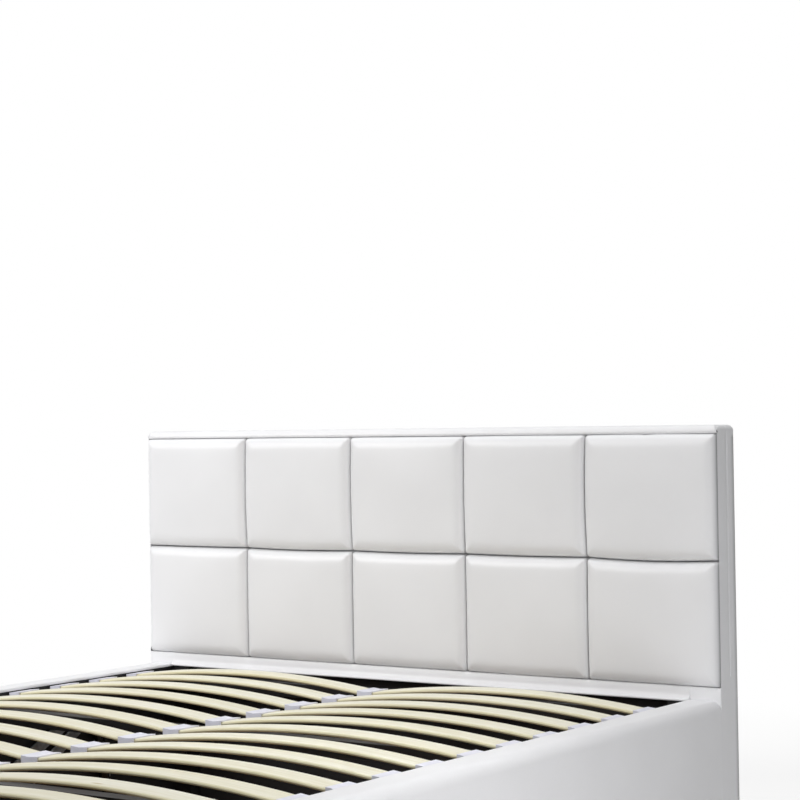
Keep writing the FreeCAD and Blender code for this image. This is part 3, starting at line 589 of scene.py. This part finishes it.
def ledge_section(reach, hang):
    """From the seam down the flat face, out over the ledge, round its lip and back underneath."""
    lip_top = ledge_low.z + ledge_lip
    lip_front = seam_plane - reach
    soft = min(reach, ledge_lip_roll)
    section = [(ledge_high.y, ledge_high.z)]
    section += [(seam_plane + back, ledge_high.z - down) for back, down in seam_turn]
    section.append((seam_plane - reach * face_tilt_share, lip_top + ledge_slope + ledge_top_gap))
    for step in range(6):
        share = step / 5
        out = reach * (ledge_root_share + ledge_out_share * share**1.7)
        section.append((seam_plane - out, lip_top + ledge_slope * (1 - share) ** 1.5))
    for turn in quarter(4)[1:]:
        curl = reach * lip_curl_share * (1 - math.sin(turn))
        section.append((lip_front + curl, lip_top - ledge_lip_roll * (1 - math.cos(turn))))
    section.append((lip_front, ledge_low.z + ledge_lip_roll))
    section.append((lip_front + soft * lip_under_share, ledge_low.z + lip_under))
    section += [(lip_front + soft, ledge_low.z), (ledge_high.y, ledge_low.z)]
    tall = ledge_high.z - ledge_low.z
    return [(y, z - hang * ((ledge_high.z - z) / tall) ** 2) for y, z in section]


tail_places = [quilt_half, tail_start, tail_start - tail_step, ledge_half + ledge_end_step]
ledge_places = [(-x, 0.0) for x in tail_places]
for x in np.linspace(-ledge_half, ledge_half, ledge_steps):
    to_end = min((ledge_half - abs(x)) / ledge_end_roll, 1)
    swollen = ledge_end_share + (1 - ledge_end_share) * math.sqrt(1 - (1 - to_end) ** 2)
    ledge_places.append((x, ledge_reach * swollen))
ledge_places += [(x, 0.0) for x in reversed(tail_places)]
ledge_rings = []
loose_from = ledge_high.y - ledge_back_strip
for x, reach in ledge_places:
    wave = ledge_wave * noise.noise(Vector((x / ledge_wave_spacing, 1.7, 0.0)))
    hang = tail_drop if abs(x) > tail_start - tail_step / 2 else 0.0
    forward = wave + (tail_proud if abs(x) > tail_start - tail_step * 1.5 else 0.0)
    section = ledge_section(reach, hang)
    ledge_rings.append([Vector((x, y - forward if y < loose_from else y, z)) for y, z in section])
upholster("lower_band", ledge_rings, "headboard_lower_band")

# The thin black cloths of the headboard: one stapled over the whole back, and one that lines the
# head end of the storage box. Both are a spunbonded fabric, stretched flat and turned in.

cloth_sag = 0.0008
cloth_share = 0.30
cloth_steps = (96, 64)
cloth_slack_spacing = 0.12
cloth_pull = 0.0003
cloth_pull_spacing = 0.03
cloth_emboss_depth = 0.00015
cloth_fibre_depth = 0.00006


def thin_cloth(name, node, sag):
    """A stretched cloth: flat at its stapled edges, and a little loose between them."""
    low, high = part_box(node)
    across, up = cloth_steps
    thin = (high.y - low.y) * cloth_share
    backing = high.y - thin if sag > 0 else low.y
    points = []
    for face in (0, 1):
        for j in range(up + 1):
            for i in range(across + 1):
                x = low.x + (high.x - low.x) * i / across
                z = low.z + (high.z - low.z) * j / up
                inside = math.sin(math.pi * i / across) * math.sin(math.pi * j / up)
                give = inside**0.5 * (0.6 + 0.4 * noise.noise(Vector((x, 0, z)) / cloth_slack_spacing))
                pull = cloth_pull * noise.noise(Vector((x, 5.0, z)) / cloth_pull_spacing)
                y = backing + (thin if face else 0.0)
                points.append((x, y - sag * give - pull * inside, z))
    count = (across + 1) * (up + 1)
    faces = []
    for a, b, c, d in grid_faces(up + 1, across + 1):
        faces.append((a, b, c, d))
        faces.append((count + a, count + d, count + c, count + b))
    rim = grid_rim(up + 1, across + 1)
    for a, b in zip(rim, rim[1:] + rim[:1]):
        faces.append((b, a, count + a, count + b))
    cloth = build(name, points, faces, black_cloth, "root", "black_cloth", [node], crease=60)


black_cloth = new_finish("spunbonded black cloth", roughness=0.85)
cloth_place = stretched_place(black_cloth)
cloth_fibres = mottle(black_cloth, cloth_place, scale=900.0, detail=6.0, rough=0.75)
dots = {"Vector": cloth_place, "Scale": 420.0, "Randomness": 0.15}
embossed = add(black_cloth, "TexVoronoi", dots).outputs["Distance"]
tint(black_cloth, cloth_fibres, ("#0d0c0d", "#161416", "#201e20"))
relief(black_cloth, (embossed, cloth_emboss_depth), (cloth_fibres, cloth_fibre_depth))
thin_cloth("back_cloth", "headboard_back_cloth", -cloth_sag)
thin_cloth("head_end_cloth", "head_end_lining", cloth_sag)

# The side rails and the foot panel: timber frames under the white cloth, which is glued over a
# thin foam, rolled over the top and turned in under the bottom edge.

rail_low, rail_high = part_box("right_rail_cover")
foot_low, foot_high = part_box("foot_panel_cover")
rail_outer_roll = 0.022
rail_inner_roll = 0.004
rail_lower_roll = 0.008
cover_side = 0.005
cover_top = 0.006
cover_bottom = 0.002
core_roll = 0.016
foot_corner = 0.014
foot_mitre = 0.065
foam_start = 0.02
broad_wave = 0.0011
broad_spacing = 0.22
fine_wave = 0.0003
fine_spacing = 0.05
cover_end_roll = 0.0035
cover_end_depth = 0.0022
cover_end_steps = [0.0, 0.0006, 0.0014, 0.0024, cover_end_roll]
rail_first_step = 0.02
rail_steps = 150
foot_first_step = 0.008
# At the foot corners the timber's square edge lies under the roll, so the cloth stands fuller
corner_fill = 0.0034
rail_fill_length = 0.15
foot_fill_start = 0.008
foot_fill_length = 0.012


def arc_of(centre, radius, start, end, steps):
    """Points on an arc, each with its way out from the centre."""
    turns = [math.radians(start + (end - start) * s / steps) for s in range(steps + 1)]
    ways = [(math.cos(t), math.sin(t)) for t in turns]
    return [(centre[0] + radius * out, centre[1] + radius * up, out, up) for out, up in ways]


def cover_section(depth, height):
    """Round the outside of a cover, then back round its inside: place, way out and looseness."""
    outside = [(0.0, 0.0, 0.0, -1.0), (depth * 0.5, 0.0, 0.0, -1.0)]
    outside += arc_of((depth - rail_lower_roll, rail_lower_roll), rail_lower_roll, -90, 0, 5)
    low, high = rail_lower_roll, height - rail_outer_roll
    outside += [(depth, low + (high - low) * s / 16, 1.0, 0.0) for s in range(1, 16)]
    outside += arc_of((depth - rail_outer_roll, high), rail_outer_roll, 0, 90, 12)
    near, far = rail_inner_roll, depth - rail_outer_roll
    outside += [(far + (near - far) * s / 5, height, 0.0, 1.0) for s in range(1, 5)]
    outside += arc_of((near, height - rail_inner_roll), rail_inner_roll, 90, 180, 4)
    wall, top = depth - cover_side, height - cover_top
    core_arc = arc_of((wall - core_roll, top - core_roll), core_roll, 0, 90, 6)
    inside = [(0.0, top)] + [place[:2] for place in reversed(core_arc)]
    inside += [(wall, cover_bottom), (0.0, cover_bottom)]
    section = [(out, up, way_out, way_up, 1.0) for out, up, way_out, way_up in outside]
    return section + [(out, up, 0.0, 0.0, 0.0) for out, up in inside]


def ease(from_end):
    """How far the cover turns in at its ends, so that the joints between the panels show."""
    share = min(max(from_end / cover_end_roll, 0), 1)
    return cover_end_depth * (1 - math.sqrt(1 - (1 - share) ** 2))


def puffed(x, y, z, out):
    """How uneven the foam under the cloth is, which fades out at the bed's inside."""
    broad = noise.noise(Vector((x, y, z)) / broad_spacing) * broad_wave
    fine = noise.noise(Vector((x, y * 0.6, z + 4)) / fine_spacing) * fine_wave
    return (broad + fine) * min(out / foam_start, 1)


def fill(way_out, way_up):
    """How much fuller the cloth stands where it rolls over the timber's square edge."""
    return corner_fill * 2 * max(way_out, 0) * max(way_up, 0)


def rail_cover(side_name, side):
    section = cover_section(rail_high.x - rail_low.x, rail_high.z - rail_low.z)
    length = rail_high.y - rail_low.y
    stations = cover_end_steps + list(np.linspace(rail_first_step, length - rail_first_step, rail_steps))
    stations += [length - e for e in reversed(cover_end_steps)]
    rings = []
    for along in stations:
        y = rail_low.y + along
        turned_in = ease(min(along, length - along))
        filled = max(1 - along / rail_fill_length, 0) ** 2
        ring = []
        for out, up, way_out, way_up, loose in section:
            x, z = rail_low.x + out, rail_low.z + up
            move = (puffed(x, y, z, out) - turned_in + fill(way_out, way_up) * filled) * loose
            ring.append(Vector((side * (x + way_out * move), y, z + way_up * move)))
        rings.append(ring if side > 0 else ring[::-1])
    upholster(side_name + "_rail_padding", rings, side_name + "_rail_cover", crease=50)


def foot_stations():
    """Inner and outer points of the foot panel's plan, from the right rail round to the left."""
    half, outer, inner = foot_high.x, foot_low.y, foot_high.y
    pivot = Vector((half - foot_mitre, inner, 0))
    ys = [inner - e for e in cover_end_steps]
    ys += list(np.linspace(inner - foot_first_step, outer + foot_corner, 12))
    right = [(pivot, Vector((half, y, 0)), inner - y) for y in ys]
    for turn in quarter(8)[1:]:
        x = half - foot_corner + foot_corner * math.cos(turn)
        y = outer + foot_corner - foot_corner * math.sin(turn)
        right.append((pivot, Vector((x, y, 0)), 1.0))
    for x in np.linspace(half - foot_corner - foot_first_step, pivot.x, 8):
        right.append((pivot, Vector((x, outer, 0)), 1.0))
    for x in np.linspace(pivot.x, 0, 60)[1:-1]:
        right.append((Vector((x, inner, 0)), Vector((x, outer, 0)), 1.0))
    return both_sides(right, (Vector((0, inner, 0)), Vector((0, outer, 0)), 1.0))


rail_cover("right", 1)
rail_cover("left", -1)
foot_depth = foot_high.y - foot_low.y
foot_section = cover_section(foot_depth, foot_high.z - foot_low.z)
foot_rings = []
for inner, outer, from_end in foot_stations():
    reach = (outer - inner).length
    way = (outer - inner) / reach
    turned_in = ease(from_end)
    filled = min(max((outer.y - foot_low.y - foot_fill_start) / foot_fill_length, 0), 1)
    ring = []
    for out, up, way_out, way_up, loose in foot_section:
        place = inner + way * (out if out < foot_depth / 2 else reach - (foot_depth - out))
        z = foot_low.z + up
        move = (puffed(place.x, place.y, z, out) - turned_in + fill(way_out, way_up) * filled) * loose
        ring.append(place + way * (way_out * move) + Vector((0, 0, z + way_up * move)))
    foot_rings.append(ring)
upholster("foot_panel_padding", foot_rings, "foot_panel_cover", crease=50)

# The platform's frame: square steel tube, cut, welded and powder coated black, with the corner
# brackets, the mechanism's plates and the mattress stops in the same coating.

tube_edge = 0.0012
bar_edge = 0.0006
plate_edge = 0.0008
coating_depth = 0.00008

black_coating = new_finish("black powder coating", roughness=0.42)
orange_peel = mottle(black_coating, stretched_place(black_coating), scale=700.0, detail=2.0)
coating_patches = mottle(black_coating, stretched_place(black_coating), scale=30.0)
tint(black_coating, orange_peel, ("#121112", "#1b1a1b"))
varied_roughness(black_coating, coating_patches, low=0.36, high=0.5)
relief(black_coating, (orange_peel, coating_depth))
dress(black_coating, "platform_side_tubes", "platform_end_tubes", "platform_centre_tube", edge=tube_edge)
dress(black_coating, "platform_cross_bars", "corner_brackets", "mattress_stops", edge=bar_edge)
dress(black_coating, "base_plates", "lid_plates", edge=plate_edge)

# The lift mechanism: two pressed links on each side, plated bright grey, turning on shouldered
# pins that are riveted through the plates.

link_edge = 0.0006
pin_edge = 0.0003
link_brush_depth = 0.00005

zinc = new_finish("grey zinc plating", roughness=0.38, metal=0.85)
zinc_bloom = mottle(zinc, stretched_place(zinc), scale=55.0, detail=5.0, rough=0.6)
brushing = mottle(zinc, stretched_place(zinc, scale=(40.0, 8.0, 40.0)), scale=20.0)
tint(zinc, zinc_bloom, ("#8b8d90", "#a9abae", "#bfc1c3"))
varied_roughness(zinc, zinc_bloom, low=0.32, high=0.5)
relief(zinc, (brushing, link_brush_depth))
dress(zinc, "front_links", "rear_links", edge=link_edge)
dress(zinc, "base_pivot_pins", "lid_pivot_pins", "rear_link_pins", "screws", edge=pin_edge)

# The gas struts: a black painted steel cylinder on each side, which the chromed rod slides out
# of as the platform rises. Each ends in an eye on its pin.

cylinder_edge = 0.0012
rod_edge = 0.0005

strut_paint = new_finish("black strut paint", roughness=0.25)
paint_flow = mottle(strut_paint, stretched_place(strut_paint), scale=90.0)
tint(strut_paint, paint_flow, ("#0c0c0d", "#141415"))
varied_roughness(strut_paint, paint_flow, low=0.2, high=0.32)
dress(strut_paint, "left_strut_cylinder", "right_strut_cylinder", edge=cylinder_edge)
chrome = new_finish("chromed rod", roughness=0.08, metal=1.0)
polish = mottle(chrome, stretched_place(chrome, scale=(60.0, 60.0, 60.0)), scale=30.0, detail=6.0)
tint(chrome, polish, ("#cfd1d3", "#e2e4e6"))
varied_roughness(chrome, polish, low=0.05, high=0.14)
dress(chrome, "left_strut_rod", "right_strut_rod", edge=rod_edge)

# The slats: birch veneers pressed into a shallow arch, with their long edges rounded. Fifteen
# rows of two lie across the platform, each a little different in tone and grain.

slat_rows = 15
slat_veneers = 3
slat_inner = 0.006
slat_thickness = 0.008
slat_edge_roll = 0.0058
slat_arch = 0.0225
slat_steps = 40
slat_streak_depth = 0.00018
slat_pore_depth = 0.00003


def darkened(finish, factor, colour, shade):
    """A colour darkened by a second one laid over it."""
    inputs = {"Factor": factor, "A": colour, "B": shade}
    return add(finish, "Mix", inputs, data_type="RGBA", blend_type="MULTIPLY").outputs["Result"]


def pressed_birch():
    """Streaked along the grain, different from slat to slat, with knots and glue lines."""
    finish = new_finish("pressed birch", roughness=0.58)
    along = stretched_place(finish, scale=(1.1, 26.0, 9.0))
    streaks = mottle(finish, along, scale=7.0, detail=6.0, rough=0.62)
    face = between(finish, streaks, ("#dfdac0", "#e9e6d4", "#efede0"), ends=(0.28, 0.72))
    tone = mottle(finish, stretched_place(finish, scale=(0.5, 7.0, 0.0)), scale=1.6, detail=1.0)
    deeper = between(finish, tone, ("#efe8cf", "#ffffff"), ends=(0.2, 0.62))
    toned = darkened(finish, 0.45, face, deeper)
    knot_cells = {"Vector": stretched_place(finish, scale=(3.2, 9.0, 3.0)), "Scale": 1.0}
    cells = add(finish, "TexVoronoi", knot_cells).outputs["Distance"]
    knots = between(finish, cells, ("#9c8457", "#cdb98a", "#ffffff"), ends=(0.012, 0.055))
    spotted = darkened(finish, 0.6, toned, knots)
    ply = add(finish, "Attribute", attribute_name="ply").outputs["Fac"]
    through = add(finish, "Math", {0: ply, 1: math.tau * slat_veneers}, operation="MULTIPLY")
    lines = add(finish, "Math", {0: through.outputs["Value"]}, operation="COSINE").outputs["Value"]
    glue = between(finish, lines, ("#efebd6", "#efebd6", "#d3caa6"), ends=(0.2, 0.98))
    edge_only = {"Value": ply, "From Min": 0.82, "From Max": 0.99, "To Min": 0.8, "To Max": 0.0}
    on_edge = add(finish, "MapRange", edge_only).outputs["Result"]
    feed(finish, "Base Color", darkened(finish, on_edge, spotted, glue))
    varied_roughness(finish, streaks, low=0.52, high=0.66)
    pores = mottle(finish, stretched_place(finish), scale=500.0)
    relief(finish, (streaks, slat_streak_depth), (pores, slat_pore_depth))
    return finish


def slat_rings(low, high):
    """The right-hand slat of a row, from the centre tube out to the side tube."""
    middle_y, half = (low.y + high.y) / 2, (high.y - low.y) / 2
    rings = []
    for step in range(slat_steps + 1):
        share = step / slat_steps
        x = slat_inner + (high.x - slat_inner) * share
        rise = low.z + 4 * slat_arch * share * (1 - share)
        ring = []
        for side_y, start in ((1, 0), (-1, 90), (-1, 180), (1, 270)):
            for _, _, out, up in arc_of((0, 0), 1.0, start, start + 90, 6):
                y = side_y * (half - slat_edge_roll) + out * slat_edge_roll
                ring.append(Vector((x, middle_y + y, rise + (1 + up) * slat_thickness / 2)))
        rings.append(ring)
    return rings


def joined(parts):
    """The points and faces of several pieces of mesh as those of one."""
    points, faces = [], []
    for some_points, some_faces in parts:
        faces += [tuple(i + len(points) for i in face) for face in some_faces]
        points += some_points
    return points, faces


birch = pressed_birch()
for row in range(1, slat_rows + 1):
    node = "slat_row_%02d" % row
    right = slat_rings(*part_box(node))
    left = [[Vector((-p.x, p.y, p.z)) for p in ring] for ring in reversed(right)]
    plies = []
    for ring in right + left:
        bottom = min(p.z for p in ring)
        plies += [(p.z - bottom) / slat_thickness for p in ring]
    both = joined([skin(right), skin(left)])
    slats = build("slats_%02d" % row, *both, birch, "platform", "birch", [node], crease=50)
    mark(slats, "ply", plies)

# The slat holders: moulded caps of white plastic, pegged into holes in the tubes. Single ones
# sit on the side tubes, and double ones along the centre tube.

holder_edge = 0.0007
moulding_depth = 0.00003

white_plastic = new_finish("white moulded plastic", roughness=0.38)
moulding = mottle(white_plastic, stretched_place(white_plastic), scale=60.0)
sparks = mottle(white_plastic, stretched_place(white_plastic), scale=900.0)
tint(white_plastic, moulding, ("#dedee9", "#e6e6f1"))
varied_roughness(white_plastic, moulding, low=0.34, high=0.44)
relief(white_plastic, (sparks, moulding_depth))
dress(white_plastic, "side_slat_holders", "centre_slat_holders", edge=holder_edge)

# The pull straps: black woven webbing, sewn in a loop round the foot tube. They stand up past
# the slats so that a hand can lift the platform by them.

strap_low, strap_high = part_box("pull_straps")
strap_width = 0.035
strap_thickness = 0.002
strap_top_roll = 0.016
strap_lower_roll = 0.0022
strap_slack = 0.0006
weave_depth = 0.0003
# Round the webbing's section, in shares of half its width and half its thickness
strap_section_shares = (
    (-1, -0.3), (-1, 0.3), (-0.955, 1), (0.955, 1), (1, 0.3), (1, -0.3), (0.955, -1), (-0.955, -1),
)


def strap_path():
    """The middle of the webbing's thickness, round its loop, with the way out at each point."""
    half = strap_thickness / 2
    near, far = strap_low.y + half, strap_high.y - half
    low, high = strap_low.z + half, strap_high.z - half
    path = []
    for y, z, start, radius in (
        (far, high, 0, strap_top_roll),
        (near, high, 90, strap_top_roll),
        (near, low, 180, strap_lower_roll),
        (far, low, 270, strap_lower_roll),
    ):
        out_y, out_z = (1 if y == far else -1), (1 if z == high else -1)
        path += arc_of((y - out_y * radius, z - out_z * radius), radius, start, start + 90, 8)
    return path


def threads(finish, place, scale, way):
    """The webbing's threads in one direction."""
    waves = {"Vector": place, "Scale": scale, "Distortion": 0.4}
    return add(finish, "TexWave", waves, bands_direction=way).outputs["Fac"]


webbing = new_finish("black woven webbing", roughness=0.72)
weave_place = stretched_place(webbing)
ribs = threads(webbing, weave_place, scale=190.0, way="X")
picks = threads(webbing, weave_place, scale=150.0, way="Z")
tint(webbing, picks, ("#121113", "#232124"), ends=(0.1, 0.9))
relief(webbing, (ribs, weave_depth), (picks, weave_depth))
straps = []
for side in (1, -1):
    middle_x = side * (strap_high.x - strap_width / 2)
    rings = []
    for y, z, way_y, way_z in strap_path():
        slack = strap_slack * noise.noise(Vector((side * 3.0, y * 9, z * 14)))
        ring = []
        for across, proud in strap_section_shares:
            lift = slack + proud * strap_thickness / 2
            ring.append(Vector((middle_x + across * strap_width / 2, y + way_y * lift, z + way_z * lift)))
        rings.append(ring)
    straps.append(skin(rings, closed=True))
build("pull_strap_loops", *joined(straps), webbing, "platform", "webbing", ["pull_straps"], crease=40)

# The feet: turned black plastic cones under the base, and flat glides under the headboard's legs
# and the beam. Each is slightly rounded where it meets the floor.

foot_places = [(side * 0.681, y) for side in (1, -1) for y in (-0.989, -0.005)]
leg_places = [(side * 0.673, y) for side in (1, -1) for y in (0.961, 1.0005)]
beam_places = [(0, y) for y in (-0.480, -0.005, 0.470)]
moulded_depth = 0.00008
# Each turned outline, as radius and height
foot_outline = [(0.0185, 0.0), (0.0205, 0.0012), (0.0208, 0.0030), (0.0200, 0.0034), (0.0203, 0.0042)]
foot_outline += [(0.0213, 0.0052), (0.0236, 0.0265), (0.0240, 0.0285), (0.0236, 0.0300)]
leg_outline = [(0.0110, 0.0), (0.0122, 0.0008), (0.0122, 0.0024), (0.0118, 0.0028)]
leg_outline += [(0.0130, 0.0040), (0.0130, 0.0112), (0.0124, 0.0120)]
beam_outline = [(0.0175, 0.0), (0.0192, 0.0009), (0.0192, 0.0028), (0.0186, 0.0032)]
beam_outline += [(0.0200, 0.0044), (0.0200, 0.0130), (0.0193, 0.0140)]


def turned(outline, places, steps=48):
    """Pieces turned on a lathe to one outline, set down at each place."""
    turns = [2 * math.pi * s / steps for s in range(steps)]
    pieces = []
    for x, y in places:
        place = Vector((x, y, 0))
        rings = []
        for radius, height in outline:
            circle = [Vector((radius * math.cos(t), radius * math.sin(t), height)) for t in turns]
            rings.append([place + point for point in circle])
        pieces.append(skin(rings))
    return pieces


black_plastic = new_finish("black moulded plastic", roughness=0.48)
spark = mottle(black_plastic, stretched_place(black_plastic), scale=420.0, detail=4.0, rough=0.7)
tint(black_plastic, spark, ("#151416", "#1f1e20"))
varied_roughness(black_plastic, spark, low=0.42, high=0.56)
relief(black_plastic, (spark, moulded_depth))
feet = joined(turned(foot_outline, foot_places))
build("turned_feet", *feet, black_plastic, "root", "black_plastic", ["base_feet"], crease=35)
glides = joined(turned(leg_outline, leg_places) + turned(beam_outline, beam_places))
build("turned_glides", *glides, black_plastic, "root", "black_plastic", ["floor_glides"], crease=35)

# The studio: a white floor that keeps the bed's soft shadow, and even light from the front left,
# from above and on to the right rail. The floor fades to plain white away from the bed.

floor_half = 9
floor_dullness = 0.86
floor_glow = 0.56
soft_light_strength = 0.11
# The shadow fades out over an oval of this half width and half length round the bed
fade_half_width = 3.2
fade_half_length = 3.6

floor_mesh = bpy.data.meshes.new("studio_floor")
floor_corners = [(floor_half * x, floor_half * y, 0) for x, y in ((-1, -1), (1, -1), (1, 1), (-1, 1))]
floor_mesh.from_pydata(floor_corners, [], [(0, 1, 2, 3)])
studio_floor = bpy.data.objects.new("studio_floor", floor_mesh)
bpy.context.scene.collection.objects.link(studio_floor)
floor_paint = bpy.data.materials.new("studio floor paint")
floor_paint.use_nodes = True
floor_paint.node_tree.nodes.clear()
floor_mesh.materials.append(floor_paint)


def seen_directly(finish):
    """1 for what the camera sees, also in a mirror or through glass."""
    path = add(finish, "LightPath").outputs
    direct = {0: path["Is Camera Ray"], 1: path["Is Glossy Ray"]}
    one = add(finish, "Math", direct, operation="MAXIMUM").outputs["Value"]
    both = {0: one, 1: path["Is Transmission Ray"]}
    return add(finish, "Math", both, operation="MAXIMUM").outputs["Value"]


def shining(finish, kind, strength):
    """White light of a strength, from a surface or from the world's background."""
    return add(finish, kind, {"Color": (1, 1, 1, 1), "Strength": strength}).outputs[kind]


floor_place = stretched_place(floor_paint, scale=(1 / fade_half_width, 1 / fade_half_length, 1.0))
fade = add(floor_paint, "TexGradient", {"Vector": floor_place}, gradient_type="SPHERICAL").outputs["Fac"]
fade_range = {"Value": fade, "From Min": 0.05, "From Max": 0.5, "To Min": 1.0, "To Max": 0.0}
to_white = add(floor_paint, "MapRange", fade_range, interpolation_type="SMOOTHSTEP").outputs["Result"]
dull_colour = (floor_dullness, floor_dullness, floor_dullness, 1)
dull = add(floor_paint, "BsdfDiffuse", {"Color": dull_colour}).outputs["BSDF"]
glow = shining(floor_paint, "Emission", floor_glow)
white = shining(floor_paint, "Emission", 1.0)
lifted = add(floor_paint, "AddShader", {0: dull, 1: glow}).outputs["Shader"]
faded = add(floor_paint, "MixShader", {0: to_white, 1: lifted, 2: white}).outputs["Shader"]
shown = add(floor_paint, "MixShader", {0: seen_directly(floor_paint), 1: dull, 2: faded}).outputs["Shader"]
add(floor_paint, "OutputMaterial", {"Surface": shown})

studio = bpy.data.worlds.new("studio")
studio.use_nodes = True
studio.node_tree.nodes.clear()
bpy.context.scene.world = studio
soft_light = shining(studio, "Background", soft_light_strength)
backdrop = shining(studio, "Background", 1.0)
sky = add(studio, "MixShader", {0: seen_directly(studio), 1: soft_light, 2: backdrop}).outputs["Shader"]
add(studio, "OutputWorld", {"Surface": sky})


def lamp(name, place, aim, size, power, spread=180):
    light = bpy.data.lights.new(name, "AREA")
    light.shape = "RECTANGLE"
    light.size, light.size_y = size
    light.spread = math.radians(spread)
    light.energy = power
    holder = bpy.data.objects.new(name, light)
    holder.location = place
    holder.rotation_euler = (Vector(aim) - Vector(place)).to_track_quat("-Z", "Y").to_euler()
    holder.visible_camera = False
    bpy.context.scene.collection.objects.link(holder)


lamp("key_light", (-2.3, -2.1, 2.2), aim=(-0.95, 0.95, 0.5), size=(1.8, 1.4), power=16.2, spread=72)
lamp("top_light", (0.2, 0.0, 3.4), aim=(0.1, 0.1, 0.3), size=(3.0, 3.0), power=63)
lamp("rail_top_light", (0.80, 0.10, 2.3), aim=(0.70, 0.10, 0.35), size=(0.25, 1.1), power=0.4, spread=30)
lamp("rail_light", (2.6, -1.0, 0.9), aim=(0.715, -0.05, 0.2), size=(0.9, 0.7), power=6.6, spread=90)

# The camera stands at the right of the foot end, at the height of the headboard's top edge, and
# looks across the bed to the headboard through a long lens.

camera_place = Vector((2.54581, -2.69669, 0.89279))
camera_yaw = math.radians(35.095)
camera_pitch = math.radians(0.474)
camera_roll = math.radians(0.922)
camera_lens = 96.39
camera_film = 36.0

ahead_x = -math.sin(camera_yaw) * math.cos(camera_pitch)
ahead_y = math.cos(camera_yaw) * math.cos(camera_pitch)
ahead = Vector((ahead_x, ahead_y, math.sin(camera_pitch)))
level_right = Vector((math.cos(camera_yaw), math.sin(camera_yaw), 0))
level_down = ahead.cross(level_right)
right_way = level_right * math.cos(camera_roll) + level_down * math.sin(camera_roll)
down_way = level_down * math.cos(camera_roll) - level_right * math.sin(camera_roll)
lens = bpy.data.cameras.new("photo_camera")
lens.lens = camera_lens
lens.sensor_width = camera_film
camera = bpy.data.objects.new("photo_camera", lens)
turn = Matrix((right_way, -down_way, -ahead)).transposed().to_4x4()
camera.matrix_world = Matrix.Translation(camera_place) @ turn
bpy.context.scene.collection.objects.link(camera)
bpy.context.scene.camera = camera
bpy.context.scene.view_settings.view_transform = "Standard"
